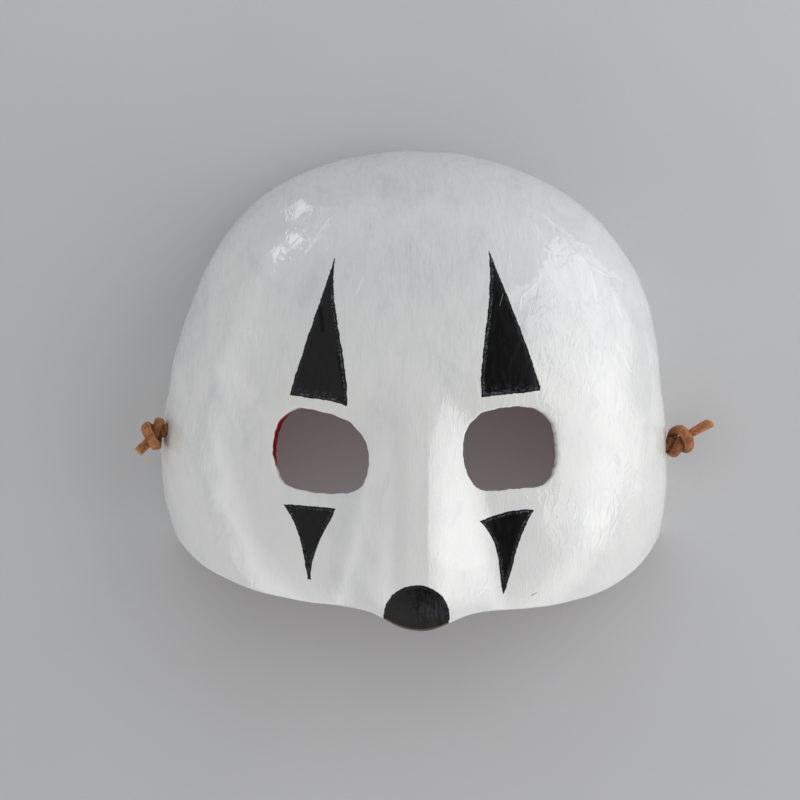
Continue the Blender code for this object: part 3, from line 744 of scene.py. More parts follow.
def tight_knot(pitch):
    """Path of an overhand knot: an open trefoil, shortened while touching strands push apart."""
    t = np.linspace(-TREFOIL_END, TREFOIL_END, KNOT_POINTS)
    path = np.stack([0.45 * (t ** 5 - 10.0 * t), 2.6 * (t ** 3 - 3.0 * t),
                     2.2 * (t ** 4 - 4.0 * t ** 2)], axis=1) * pitch / TREFOIL_PITCH
    loose = np.linalg.norm(np.diff(path, axis=0), axis=1).mean()
    tight = KNOT_LINK * pitch
    first, second = np.triu_indices(KNOT_POINTS, 1)
    for turn in range(KNOT_ROUNDS):
        step = max(loose + (tight - loose) * 2.0 * turn / KNOT_ROUNDS, tight)
        chord = path[-1] - path[0]
        chord *= KNOT_PULL * pitch / np.linalg.norm(chord)
        path[0] -= chord
        path[-1] += chord
        path[1:-1] += KNOT_SMOOTHING * (0.5 * (path[:-2] + path[2:]) - path[1:-1])
        strands = (second - first) * step > KNOT_APART * pitch
        a, b = first[strands], second[strands]
        for _ in range(3):
            between = path[b] - path[a]
            reach = np.linalg.norm(between, axis=1)
            near = reach < pitch
            push = between[near] * ((pitch - reach[near]) / reach[near] / 2.0)[:, None]
            shift, count = np.zeros_like(path), np.ones(KNOT_POINTS)
            for ends, sign in ((a[near], -1.0), (b[near], 1.0)):
                np.add.at(shift, ends, sign * push)
                np.add.at(count, ends, 0.5)
            path += KNOT_PUSH * shift / count[:, None]
            for start in (0, 1):
                i = np.arange(start, KNOT_POINTS - 1, 2)
                link = path[i + 1] - path[i]
                long = np.linalg.norm(link, axis=1)[:, None]
                path[i] += link * (long - step) / long / 2.0
                path[i + 1] -= link * (long - step) / long / 2.0
    return path[::-1]


def knot_path(point, outward_way, reach, thong):
    """The knot turned so that it sits outside a hole, its root running in through the wall."""
    path = tight_knot(KNOT_PITCH)
    axis = unit(path[KNOT_STEM] - path[0])
    side = unit(np.array(KNOT_UP) - axis * np.dot(axis, KNOT_UP))
    local = (path - path[0]) @ np.stack([axis, side, -np.cross(axis, side)]).T
    turn = Matrix.Rotation(radians(KNOT_LEAN), 3, "Z") @ Matrix.Rotation(radians(KNOT_TURN), 3, "X")
    local = local @ np.array(turn).T * (KNOT_SQUASH, 1.0, 1.0)
    body = local[KNOT_BODY:-KNOT_BODY]
    local -= [body[:, 0].min() - thong / 2.0 - GAP, *body[:, 1:].mean(axis=0) * KNOT_OFFSET]
    outside = local[(local[:, 0] > thong * 0.3) & (local[:, 0] < reach)]
    root = [[-WALL_MIDDLE, 0.0, 0.0], [WALL_MIDDLE / 2.0, 0.0, 0.0]]
    local = smooth_path(np.vstack([root, outside]), 220)
    across = np.array([0.0, np.sign(outward_way[0]), 0.0])
    return point + local @ np.stack([outward_way, across, np.cross(outward_way, across)])


def tie_route(holes, thong):
    """The thong inside the mask, in from the left hole, loosely over the floor, out on the right."""
    level = thong / 2.0 + ABOVE_FLOOR
    (left, left_out), (right, right_out) = holes
    inward = WALL_MIDDLE + GAP
    route = [left - left_out * inward, left - left_out * (inward + TIE_STRAIGHT_LEFT),
             *TIE_DOWN, *((x, y, level) for x, y in TIE_ON_FLOOR), *TIE_UP,
             right - right_out * (inward + TIE_STRAIGHT_RIGHT), right - right_out * inward]
    path = smooth_path(route, 400)
    path[:, 2] = np.maximum(path[:, 2], level)
    return path


def lace_ends(points, along):
    """The rows of a lace, with the rings that close it and round it over at both ends."""
    ends = []
    for row, way in ((0, -1.0), (-1, 1.0)):
        middle = points[row].mean(axis=0)
        rings = [middle + (points[row] - middle) * size + way * along[row] * out
                 for size, out in LACE_RINGS]
        ends.append(np.array(rings))
    return np.concatenate([ends[0][::-1], points, ends[1]])


def lace_uv(way):
    """UV places of a lace's face corners, in metres: round the section, and along the way."""
    rows = np.arange(len(way) - 1)[:, None]
    columns = np.arange(LACE_COLUMNS)[None, :]
    shape = (len(rows), LACE_COLUMNS, 4)
    u = np.stack([columns, columns + 1, columns + 1, columns], axis=-1) / LACE_COLUMNS * LACE_GIRTH
    v = way[np.stack([rows, rows, rows + 1, rows + 1], axis=-1)]
    return np.stack([np.broadcast_to(u, shape), np.broadcast_to(v, shape)], axis=-1)


def lace(name, path, half_width, half_thick, flat_towards, shade, slant=0.0):
    """A leather lace: a superellipse carried along a path. Its thin way points to flat_towards,
    its sizes are given at each point, a slant leans its last end, and both ends are rounded."""
    along = unit(np.gradient(path, axis=0))
    thin = unit(flat_towards - along * np.sum(flat_towards * along, axis=1, keepdims=True))
    wide = np.cross(along, thin)
    turn = np.linspace(0.0, 2.0 * pi, LACE_COLUMNS, endpoint=False)
    across = np.sign(np.cos(turn)) * np.abs(np.cos(turn)) ** (2.0 / LACE_POWER)
    up = np.sign(np.sin(turn)) * np.abs(np.sin(turn)) ** (2.0 / LACE_POWER)
    walked = way_walked(path)
    to_end = walked[-1] - walked
    rough = sum(height * np.sin(2.0 * pi * walked / length + phase) for height, length, phase in LACE_WAVES)
    width = (half_width + rough)[:, None] * across
    depth = (half_thick - 0.6 * rough)[:, None] * up
    points = path[:, None] + wide[:, None] * width[..., None] + thin[:, None] * depth[..., None]
    near_end = np.clip(1.0 - to_end / SLANT_REACH, 0.0, 1.0)[:, None, None]
    points = points + along[:, None] * (width * slant)[..., None] * near_end
    points = lace_ends(points, along)

    added = len(LACE_RINGS)
    way = np.pad(walked, added, mode="edge")
    cut = np.pad(np.clip(1.0 - to_end / CUT_REACH, 0.0, 1.0), added, constant_values=1.0)
    values = {"shade": np.repeat(np.pad(shade, added, mode="edge"), LACE_COLUMNS),
              "cut": np.repeat(cut, LACE_COLUMNS)}
    faces = grid_faces(len(points), LACE_COLUMNS, 0, True)
    mesh = closed_mesh(name, points.reshape(-1, 3), faces, values, lace_uv(way))
    made = bpy.data.objects.new(name, mesh)
    bpy.context.scene.collection.objects.link(made)
    return made


class Wire:
    """A socket that takes part in arithmetic: each operator adds its Math node."""

    def __init__(self, surface, socket):
        self.surface, self.socket = surface, socket

    def math(self, operation, *values, clamp=False):
        """A Math node of the operation, with the values as its inputs in order."""
        inputs = dict(enumerate(values))
        return self.surface.add("ShaderNodeMath", {"operation": operation, "use_clamp": clamp}, inputs)

    def __add__(self, other):
        return self.math("ADD", self, other)

    def __sub__(self, other):
        return self.math("SUBTRACT", self, other)

    def __mul__(self, other):
        return self.math("MULTIPLY", self, other)

    def __truediv__(self, other):
        return self.math("DIVIDE", self, other)

    def __pow__(self, other):
        return self.math("POWER", self, other)

    def __rsub__(self, other):
        return self.math("SUBTRACT", other, self)

    def __rtruediv__(self, other):
        return self.math("DIVIDE", other, self)

    __radd__, __rmul__ = __add__, __mul__

    def least(self, other):
        """The smaller of two values."""
        return self.math("MINIMUM", self, other)

    def most(self, other):
        """The larger of two values."""
        return self.math("MAXIMUM", self, other)

    def size(self):
        """The value without its sign."""
        return self.math("ABSOLUTE", self)

    def clamp(self):
        """The value held between 0 and 1."""
        return self.math("ADD", self, 0.0, clamp=True)

    def step(self, low, high):
        """0 at low and 1 at high, smooth between them and level beyond, also where high is less."""
        return self.surface.add("ShaderNodeMapRange", {"interpolation_type": "SMOOTHSTEP"},
                                {"Value": self, "From Min": low, "From Max": high})


class Surface:
    """The node tree of one material or of the world. Every node comes from add()."""

    def __init__(self, owner):
        owner.use_nodes = True
        self.owner, self.tree = owner, owner.node_tree
        self.tree.nodes.clear()

    def add(self, kind, settings=None, inputs=None, output=0):
        """A node of a kind: its settings first, then values or links for its inputs."""
        node = self.tree.nodes.new(kind)
        for name, value in (settings or {}).items():
            setattr(node, name, value)
        for name, value in (inputs or {}).items():
            if isinstance(value, Wire):
                self.tree.links.new(value.socket, node.inputs[name])
            else:
                node.inputs[name].default_value = value
        return Wire(self, node.outputs[output]) if node.outputs else None

    def place(self):
        """Object coordinates in millimetres."""
        coordinates = self.add("ShaderNodeTexCoord", output="Object")
        return self.add("ShaderNodeVectorMath", {"operation": "SCALE"}, {0: coordinates, "Scale": 1000.0})

    def parts(self, vector):
        """The three coordinates of a vector."""
        node = self.add("ShaderNodeSeparateXYZ", None, {0: vector}).socket.node
        return [Wire(self, socket) for socket in node.outputs]

    def stretched(self, vector, scales):
        """A vector times a scale for each axis."""
        return self.add("ShaderNodeVectorMath", {"operation": "MULTIPLY"}, {0: vector, 1: scales})

    def noise(self, vector, scale, detail=2.0, roughness=0.5, distortion=0.0):
        """Noise about 0.5, finer with a larger scale: one number, or one for each axis."""
        if isinstance(scale, tuple):
            vector, scale = self.stretched(vector, scale), 1.0
        return self.add("ShaderNodeTexNoise", None,
                        {"Vector": vector, "Scale": scale, "Detail": detail, "Roughness": roughness,
                         "Distortion": distortion})

    def value(self, name):
        """A float attribute of the mesh."""
        return self.add("ShaderNodeAttribute", {"attribute_name": name}, output="Fac")

    def mix(self, mask, first, second):
        """Goes from the first colour to the second where the mask goes from 0 to 1."""
        colours = [value if isinstance(value, Wire) else (*value[:3], 1.0) for value in (first, second)]
        inputs = {0: mask, 6: colours[0], 7: colours[1]}
        return self.add("ShaderNodeMix", {"data_type": "RGBA"}, inputs, output=2)

    def relief(self, height, distance):
        """Normal of a surface raised by the height times the distance, which is in metres."""
        return self.add("ShaderNodeBump", None, {"Height": height, "Distance": distance})

    def shader(self, colour, roughness, normal, **fixed):
        """One shader. Numbers that are the same all over are set on the shader's own sockets."""
        inputs = {"Base Color": colour, "Roughness": roughness, "Normal": normal}
        inputs.update({name.replace("_", " "): value for name, value in fixed.items()})
        return self.add("ShaderNodeBsdfPrincipled", None, inputs)

    def output(self, kind, shader):
        """Ends the tree with an output node, and gives what the tree belongs to."""
        self.add(kind, None, {"Surface": shader})
        return self.owner


def along_points(value, points):
    """Polynomial of a value, at most cubic, that runs nearest to the points, level beyond them."""
    given = np.array(points)
    factors = np.polyfit(given[:, 0], given[:, 1], min(3, len(given) - 1))
    value = value.most(float(given[:, 0].min())).least(float(given[:, 0].max()))
    total = float(factors[0])
    for factor in factors[1:]:
        total = value * total + float(factor)
    return total


def ways_to_edges(x, y, mark):
    """How far inside each edge of a painted mark a point lies, in millimetres."""
    ways = {"left": x - along_points(y, mark["left"]), "right": along_points(y, mark["right"]) - x}
    if "foot" in mark:
        ways["foot"] = y - along_points(x, mark["foot"])
        ways["tip"] = mark["tip"] - y
    else:
        ways["top"] = along_points(x, mark["top"]) - y
        ways["tip"] = y - mark["tip"]
    return ways


def least_of(wires):
    """The smallest of several values."""
    return reduce(Wire.least, wires)


def most_of(wires):
    """The largest of several values."""
    return reduce(Wire.most, wires)


def way_to_line(x, y, start, end):
    """Distance in millimetres from a straight line between two points, seen from the front."""
    run, rise = end[0] - start[0], end[1] - start[1]
    off_x, off_y = x - start[0], y - start[1]
    along = ((off_x * run + off_y * rise) / (run ** 2 + rise ** 2)).clamp()
    return ((off_x - along * run) ** 2.0 + (off_y - along * rise) ** 2.0) ** 0.5


def way_to_lines(x, y, lines):
    """Distance in millimetres from the nearest of several straight lines."""
    return least_of([way_to_line(x, y, start, end) for start, end in lines])


def nose_edge():
    """Points of the lower edge under the nose disc, seen from the front, in millimetres."""
    x = np.linspace(NOSE_DISC[0] - 10.0, NOSE_DISC[0] + 10.0, 9)
    y = 1000.0 * (CENTRE[1] - lower_edge_depth(x / 1000.0))
    return tuple(zip(x, y))


class Enamel:
    """Material of the shell: brushed white enamel with black marks outside, matt red inside, and
    raw paper where the two meet. Lengths are in millimetres."""

    def __init__(self, colours):
        s = Surface(bpy.data.materials.new("brushed_enamel"))
        place = s.place()
        self.s, self.colours, self.place = s, colours, place
        self.x, self.y = s.parts(place)[:2]
        self.lining = s.value("lining")

        # Brush strokes, streaks of bristles, lumps, thin clouds and broad changes of the paint
        self.strokes = s.noise(place, (0.28, 0.065, 0.10), 3.0, 0.5, 1.8)
        self.fine = s.noise(place, (1.2, 0.12, 0.2), 3.0, 0.6, 0.8)
        self.lumps = s.noise(place, 0.10)
        self.cloud = s.noise(place, (0.060, 0.030, 0.04), 4.0, 0.6, 0.8)
        self.slow = s.noise(place, 0.045, 3.0, 0.55)
        self.wobble = (s.noise(place, 0.32, 3.0, 0.55) - 0.5) * 0.9 + (s.noise(place, 1.3) - 0.5) * 0.45

    def white_coat(self):
        """White, cooler above and warmer below, thinner in streaks and clouds, darker at the top of the
        forehead and along two lines beside raised strokes as painted shade, cream over the eye holes, with
        raised lines painted lighter as painted glints, and specks.
        Gives its colour, how thin it is with the painted shade, and the lines."""
        s, x, y, colours = self.s, self.x, self.y, self.colours
        strokes, cloud, slow, wobble = self.strokes, self.cloud, self.slow, self.wobble
        cool = y.step(-10.0, 45.0) * (0.65 + slow.step(0.40, 0.55) * 0.35)
        cool = cool * (1.0 - x.step(-30.0, -75.0) * 0.5)
        white = s.mix(cool, colours.white_warm, colours.white)

        streaks = self.fine.step(0.45, 0.8) * 0.30 + strokes.step(0.46, 0.66) * 0.20
        # Painted shade: the top of the forehead is made thinner and so darker, as shade where it turns away
        # from the light.
        clouds = cloud.step(0.48, 0.66) * 0.42 + y.step(45.0, 80.0) * 0.45
        between_marks = (x - 3.0).size().step(18.0, 2.0) * (y - 40.0).size().step(16.0, 2.0)
        thin = (streaks + clouds + between_marks * self.fine.step(0.35, 0.70) * 0.4).clamp()
        # Painted shade: two soft grey lines beside raised strokes, drawn in the thin white.
        shade_lines = way_to_lines(x, y, SHADE_LINES) + (strokes - 0.5) * 3.0
        thin = (thin * (y.step(-60.0, 40.0) * 0.6 + 0.4) + shade_lines.step(1.6, 0.0) * 0.22).clamp()
        white = s.mix(thin, white, colours.white_thin_and_shade)

        over_eyes = (y + 3.0).size().step(9.0, 3.0) * (x.size() - 31.0).size().step(22.0, 8.0)
        white = s.mix(over_eyes * slow.step(0.35, 0.6) * 0.7, white, colours.cream)
        bent_y = y + (self.lumps - 0.5) * x.step(20.0, 50.0) * 9.0
        crease_and_glint = way_to_lines(x + wobble * 1.4, bent_y, CREASES) - (strokes - 0.5) * 0.8
        crease_and_glint = crease_and_glint.step(0.55, 0.05) * cloud.step(0.34, 0.46).most(x.step(0.0, -8.0))
        # Painted glints: the raised lines are mixed towards a lighter white, standing in for light caught
        # on them; the same lines also raise the relief.
        white = s.mix(crease_and_glint * 0.5, white, colours.thick_white_and_glint)
        specks = way_to_lines(x, y, SPECKS) + wobble * 0.4
        white = s.mix(specks.step(0.30, 0.15) * 0.8, white, colours.speck)
        return white, thin, crease_and_glint

    def black_places(self):
        """Way into the nose disc, way into any black, the chains of flecks inside the dotted edges
        of the marks, and the bands over their feet."""
        x, y = self.x, self.y
        from_nose = ((x - NOSE_DISC[0]) ** 2.0 + (y - NOSE_DISC[1]) ** 2.0) ** 0.5
        on_nose = NOSE_DISC[2] - from_nose
        depths, chains, bands = [on_nose], [], []
        for mark in MARKS:
            ways = ways_to_edges(x, y, mark)
            inside = least_of(ways.values())
            depths.append(inside)
            from_dots = least_of([ways[name] for name in mark["dotted"]]) + self.wobble * 0.6
            chain = from_dots.step(0.40, 0.65) * from_dots.step(1.5, 0.95)
            chains.append(chain * inside.step(0.0, 0.3))
            if "foot" in mark:
                bands.append(ways["foot"].step(4.5, 1.0) * inside.step(0.3, 0.8))
        return on_nose, most_of(depths) + self.wobble, most_of(chains), most_of(bands)

    def black_coat(self):
        """Black with random wear, lighter on the left marks as a painted sheen, a painted mottled highlight
        on the nose, warmer low on the nose, painted reflections as streaks on the right part of the upper
        right mark and on the nose disc's right, a painted sheen inside the edges and over the feet, flecks
        and a scratch.
        Gives its colour, where it is, where the nose disc is, the flecks and the scratch."""
        s, x, y, colours, strokes = self.s, self.x, self.y, self.colours, self.strokes
        on_nose, depth, chain, foot_band = self.black_places()
        painted = depth.step(-0.10, 0.12)
        mottle = s.noise(self.place, 0.9, 3.0, 0.6, 0.6)

        streak = way_to_lines(x, y, DARK_STREAKS) - (strokes - 0.5) * 3.0
        # Painted sheen: the left marks are lighter, standing in for light reflected from the left; the
        # darker streaks are kept out of it.
        left_sheen = x.step(5.0, -5.0) * (0.9 - streak.step(1.2, 0.2) * 0.8)
        # Painted highlight: mottled lighter streaks over the nose disc.
        nose_highlight = mottle.step(0.35, 0.60) * 0.6 + strokes.step(0.40, 0.60) * 0.6 - 0.3
        # Random wear of the black, plus the painted sheen on the left and the painted highlight on the
        # nose.
        worn_and_sheen = strokes.step(0.42, 0.62) * 0.30 + left_sheen + on_nose.step(1.0, 3.0) * nose_highlight
        black = s.mix(worn_and_sheen.clamp() * (1.0 - chain * 0.7), colours.black, colours.black_worn_and_sheen)

        low_nose = on_nose.step(1.0, 3.0) * (y + x * 0.25).step(-75.0, -77.5) * x.step(9.0, 7.5)
        black = s.mix(low_nose * 0.6, black, colours.black_warm)
        # Painted reflections: lighter bluish streaks on the right part of the upper right mark and on the
        # right of the nose disc stand in for reflected light.
        streaks = self.fine.step(0.42, 0.68) * self.slow.step(0.30, 0.55)
        on_right = (x - 31.0).size().step(14.0, 9.0) * (x * 0.93 + y * 0.37).step(35.0, 42.0)
        nose_reflection = on_nose.step(0.5, 3.0) * (1.0 - low_nose) * x.step(-3.75, 6.25)
        brushed = on_right * y.step(-8.0, 0.0) + nose_reflection
        black = s.mix(brushed * streaks * 0.8, black, colours.painted_sheen)
        # Painted sheen: a lighter line inside the edges of the marks and mottled bands over their feet.
        near_edge = depth.step(0.30, 0.55) * depth.step(1.4, 0.7)
        sheen = foot_band * mottle.step(0.48, 0.60) * 0.8 + near_edge * mottle.step(0.35, 0.60) * 0.6
        black = s.mix(sheen, black, colours.painted_sheen)

        dots = s.noise(self.place, (1.9, 1.5, 1.5), 1.0, 0.4, 0.4)
        flecks = (chain * dots.step(0.51, 0.63) * (self.lumps.step(0.42, 0.56) * 0.8 + 0.2)).clamp()
        flecks = flecks * (1.0 - y.step(-45.0, -52.0) * 0.6)
        scratch = way_to_lines(x, y, SCRATCH).step(0.18, 0.05)
        black = s.mix((flecks * 0.75 + scratch * 0.9).clamp(), black, colours.fleck)
        paper_line = on_nose.step(-1.0, 0.0) * (y - along_points(x, nose_edge())).step(1.20, 0.70)
        black = s.mix(paper_line * 0.35, black, colours.raw_paper)
        return black, painted, on_nose, flecks, scratch

    def inner_coat(self):
        """Red over strips of pasted paper. Gives its colour, where it is, the raw paper between it
        and the white, and its height."""
        s, colours = self.s, self.colours
        strips = s.add("ShaderNodeTexVoronoi", {"feature": "F1"},
                       {"Vector": s.stretched(self.place, (0.045, 0.11, 0.06)), "Scale": 1.0,
                        "Randomness": 1.0})
        pulp = s.noise(self.place, 0.7, 5.0, 0.65)
        red = s.mix(self.slow.step(0.35, 0.65), colours.lining, colours.lining_dark)
        red = s.mix(pulp.step(0.62, 0.75) * 0.4, red, colours.raw_paper)
        meeting = self.lining + self.wobble * 0.08
        is_red = meeting.step(0.86, 0.90)
        raw = meeting.step(0.80, 0.84) * (1.0 - is_red)
        raw = raw.most(self.lining.step(0.90, 0.93) * self.lining.step(0.99, 0.96) * 0.5)
        return red, is_red, raw, strips * 4.0 + pulp * 2.2

    def brushwork(self):
        """Height of the enamel: brush strokes, edges where strokes overlap, ropes of thick paint
        on the right, slow lumps and a fine crinkle."""
        s, place, slow = self.s, self.place, self.slow
        overlaps = s.noise(place, (0.12, 0.045, 0.06), 2.0, 0.5, 2.4)
        overlaps = (1.0 - (overlaps - 0.5).size() * 17.0).clamp() * slow.step(0.34, 0.52)
        ropes = s.noise(place, (0.11, 0.075, 0.11), 1.0, 0.4, 2.6)
        ropes = (1.0 - (ropes - 0.5).size() * 9.0).clamp() * slow.step(0.40, 0.52)
        on_right = self.x.step(25.0, 55.0) * (self.y + 5.0).size().step(62.0, 40.0)
        crinkle = s.noise(place, 0.50)
        return (self.strokes * 0.38 + overlaps * 0.38 + ropes * on_right * 0.65 + self.lumps * 1.5
                + crinkle * 0.10)

    def material(self):
        """The glossy white and the matt black and red, each with its own shader, over one relief."""
        s = self.s
        white, thin, crease_and_glint = self.white_coat()
        black, painted, on_nose, flecks, scratch = self.black_coat()
        red, is_red, raw, inner_height = self.inner_coat()
        height = self.brushwork() + painted * 0.5 + flecks * 0.3 + (crease_and_glint + scratch) * 0.3
        height = height * (1.0 - is_red) + is_red * inner_height
        normal = s.relief(height, PAINT_RELIEF)
        white = s.mix(raw * 0.8, white, self.colours.raw_paper)
        glossy = s.shader(white, (self.colours.gloss + thin * 0.03).clamp(), normal, IOR=1.6,
                          Specular_IOR_Level=0.9)
        matt = 0.32 - on_nose.step(-0.5, 0.5) * 0.08 + self.x.step(5.0, -5.0) * 0.10 + is_red * 0.4
        dull = s.shader(s.mix(is_red, black, red), matt.clamp(), normal, Specular_IOR_Level=0.08)
        is_dull = (painted * (1.0 - raw)).most(is_red * (1.0 - raw * 0.6))
        both = s.add("ShaderNodeMixShader", None, {0: is_dull, 1: glossy, 2: dull})
        return s.output("ShaderNodeOutputMaterial", both)


def suede(colours):
    """Suede leather: fibres along the lace, painted shade towards the middle of each knot, pale cut ends.
    """
    s = Surface(bpy.data.materials.new("suede_leather"))
    uv = s.add("ShaderNodeUVMap", {"uv_map": "along"})
    around = s.add("ShaderNodeVectorMath", {"operation": "SCALE"}, {0: uv, "Scale": 1000.0})
    place = s.place()
    fibres = s.noise(around, (2.2, 0.5, 1.0), 5.0, 0.7, 0.8)
    nap = s.noise(place, 2.4, 3.0, 0.75)
    patches = s.noise(place, 0.5, 3.0, 0.55)
    colour = s.mix(patches.step(0.35, 0.65), colours.leather, colours.leather_light)
    colour = s.mix(fibres.step(0.45, 0.72) * 0.6, colour, colours.leather_dark)
    colour = s.mix(nap.step(0.48, 0.60) * 0.60, colour, colours.leather_light)
    colour = s.mix(nap.step(0.46, 0.36) * 0.45, colour, colours.leather_dark)
    # Painted shade: darker towards the middle of each knot, from the shade attribute.
    colour = s.mix(s.value("shade") * 0.75, colour, colours.leather_dark)
    colour = s.mix(s.value("cut"), colour, colours.leather_cut)
    normal = s.relief(fibres * 0.6 + nap * 0.5, SUEDE_RELIEF)
    leather = s.shader(colour, (nap * 0.2 + 0.72).clamp(), normal, Sheen_Weight=0.10,
                       Sheen_Roughness=0.5, Specular_IOR_Level=0.15)
    return s.output("ShaderNodeOutputMaterial", leather)


def floor_card(colour):
    """Matt studio card with a very faint mottle."""
    s = Surface(bpy.data.materials.new("studio_card"))
    place = s.place()
    mottle = s.noise(place, 0.01, 2.0)
    shade = s.mix(mottle.step(0.3, 0.7), colour, [0.97 * value for value in colour])
    grain = s.relief(s.noise(place, 0.5), CARD_RELIEF)
    card = s.shader(shade, mottle * 0.1 + 0.8, grain)
    return s.output("ShaderNodeOutputMaterial", card)


def size_property(name, description, default, low, high):
    """A length in metres."""
    return bpy.props.FloatProperty(name=name, description=description, default=default, min=low,
                                   max=high, unit="LENGTH", precision=5)


def brightness_property(name, description, default):
    """A factor of a light."""
    return bpy.props.FloatProperty(name=name, description=description, default=default, min=0.0,
                                   max=100.0)


def colour_property(name, description, *default):
    """A linear colour: red, green and blue."""
    return bpy.props.FloatVectorProperty(name=name, description=description, default=default, size=3,
                                         min=0.0, max=1.0, subtype="COLOR")


class ShellSettings(bpy.types.PropertyGroup):
    """Sizes and colours of the shell"""
    wall: size_property("Wall", "Thickness of the papier-mache", 0.0026, 0.001, 0.005)
    edge_rounding: size_property("Edge rounding", "Rounding of the cut edges", 0.0008, 0.0003, 0.0012)
    gloss: bpy.props.FloatProperty(name="Gloss", description="Roughness of the smoothest enamel",
                                   default=0.055, min=0.02, max=1.0, subtype="FACTOR")
    white: colour_property("White", "Enamel of the forehead", 0.755, 0.76, 0.772)
    white_warm: colour_property("Warm white", "Enamel below the forehead", 0.815, 0.815, 0.797)
    # Also the colour of the painted shade at the top of the forehead and beside two raised strokes.
    white_thin_and_shade: colour_property("Thin white", "Enamel where it was brushed thin", 0.61, 0.625, 0.655)
    # Painted glint: lighter colour of the raised lines, standing in for light caught on them.
    thick_white_and_glint: colour_property("Thick white", "Raised lines of thick paint", 0.95, 0.95, 0.95)
    cream: colour_property("Cream", "Warm thick paint over the eye holes", 0.80, 0.785, 0.735)
    speck: colour_property("Speck", "Small dark specks in the enamel", 0.12, 0.10, 0.08)
    black: colour_property("Black", "Painted marks and nose tip", 0.004, 0.004, 0.0042)
    # Colour of the random wear, and of the painted sheen on the left marks and the painted highlight on the
    # nose.
    black_worn_and_sheen: colour_property("Worn black", "Black that is matt and worn", 0.0205, 0.0205, 0.0207)
    black_warm: colour_property("Warm black", "Thin black low on the nose", 0.026, 0.024, 0.020)
    # Painted sheen: colour of reflections drawn as lighter streaks and edges in the black.
    painted_sheen: colour_property("Sheen", "Streaks of dry brush in the black", 0.048, 0.048, 0.054)
    fleck: colour_property("Fleck", "Light flecks along the edges of the marks", 0.16, 0.17, 0.19)
    lining: colour_property("Lining", "Matt paint of the inner side", 0.44, 0.005, 0.020)
    lining_dark: colour_property("Dark lining", "Thick paint of the inner side", 0.19, 0.004, 0.010)
    raw_paper: colour_property("Raw paper", "Paper between the two paints", 0.33, 0.25, 0.19)


class TieSettings(bpy.types.PropertyGroup):
    """Size and colours of the leather tie"""
    thong: size_property("Thong", "Diameter of the leather thong", 0.0031, 0.002, 0.005)
    leather: colour_property("Leather", "Suede in its middle tone", 0.33, 0.105, 0.035)
    leather_light: colour_property("Light leather", "Suede with raised nap", 0.56, 0.245, 0.105)
    # Also the colour of the painted shade towards the middle of each knot.
    leather_dark: colour_property("Dark leather", "Suede in its creases", 0.10, 0.034, 0.013)
    leather_cut: colour_property("Cut leather", "Cut ends of the thong", 0.62, 0.42, 0.28)


class StageSettings(bpy.types.PropertyGroup):
    """Floor, lights and camera"""
    floor_width: size_property("Floor", "Width of the floor card", 3.0, 0.5, 10.0)
    floor_colour: colour_property("Floor colour", "Colour of the floor card", 0.62, 0.62, 0.63)
    panel_right: brightness_property("Right panels", "Brightness of the upright panels", 1.08)
    panel_low: brightness_property("Low panel", "Brightness of the level panel on the right", 0.64)
    lamps: brightness_property("Small lamps", "Brightness of the two lamps at the upper left", 1.7)
    room_light: brightness_property("Room light", "Light from all round the room", 1.0)
    camera_x: size_property("Camera x", "Place of the camera across the mask", -0.0047, -1.0, 1.0)
    camera_y: size_property("Camera y", "Place of the camera along the mask", -0.0049, -1.0, 1.0)
    camera_height: size_property("Camera height", "Height of the camera over the floor", 1.4, 0.5, 5.0)
    lens: bpy.props.FloatProperty(name="Lens", description="Focal length in millimetres",
                                  default=180.0, min=20.0, max=400.0)


def room_light(world, brightness):
    """Even soft light, with more of it low down: from the chin's side, the left and the right."""
    s = Surface(world)
    x, y, z = s.parts(s.add("ShaderNodeTexCoord", output="Generated"))
    low = z.step(0.65, 0.15) * (z.step(-0.05, 0.20) * 0.7 + 0.3)
    amount = low * (y.step(0.7, -0.8) * 0.82 + x.step(0.7, -0.8) * 0.44 + x.step(0.1, 0.9) * 0.36)
    amount = (amount + 0.470) * brightness
    room = s.add("ShaderNodeBackground", None, {"Color": (0.985, 0.995, 1.0, 1.0), "Strength": amount})
    s.output("ShaderNodeOutputWorld", room)


def light_panel(name, place, facing, size, brightness, spread):
    """A rectangular light at a place, facing a direction, with a given brightness of its face seen
    from straight ahead. A spread in degrees below 180 holds its light together."""
    light = bpy.data.lights.new(name, "AREA")
    light.shape = "RECTANGLE"
    light.size, light.size_y = size
    light.energy = pi * size[0] * size[1] * brightness
    if spread < 180.0:
        half = radians(spread / 2.0)
        light.spread = 2.0 * half
        light.energy *= 1.0 - half / tan(half)
    made = bpy.data.objects.new(name, light)
    made.location = place
    made.rotation_euler = Vector(facing).to_track_quat("-Z", "Y").to_euler()
    made.visible_camera = False
    bpy.context.scene.collection.objects.link(made)


class MASK_OT_stage(bpy.types.Operator):
    """Makes the floor, the lights and the camera"""
    bl_idname = "mask.stage"
    bl_label = "Stage and camera"

    def execute(self, context):
        settings = context.scene.mask_stage
        half = settings.floor_width / 2.0
        mesh = bpy.data.meshes.new("floor")
        corners = [(-half, -half), (half, -half), (half, half), (-half, half)]
        mesh.from_pydata([(x, y, FLOOR_LEVEL) for x, y in corners], [], [(0, 1, 2, 3)])
        mesh.materials.append(floor_card(settings.floor_colour))
        floor = bpy.data.objects.new("floor", mesh)
        context.scene.collection.objects.link(floor)
        for name, (place, facing, size, setting, share, spread) in LIGHTS.items():
            light_panel(name, place, facing, size, getattr(settings, setting) * share, spread)
        world = bpy.data.worlds.new("studio")
        room_light(world, settings.room_light)
        context.scene.world = world
        camera = bpy.data.cameras.new("camera")
        camera.sensor_width = 36.0
        camera.lens = settings.lens
        camera.clip_start, camera.clip_end = 0.01, 20.0
        eye = bpy.data.objects.new("camera", camera)
        eye.location = (settings.camera_x, settings.camera_y, settings.camera_height)
        context.scene.collection.objects.link(eye)
        context.scene.camera = eye
        context.scene.view_settings.view_transform = "Standard"
        return {"FINISHED"}


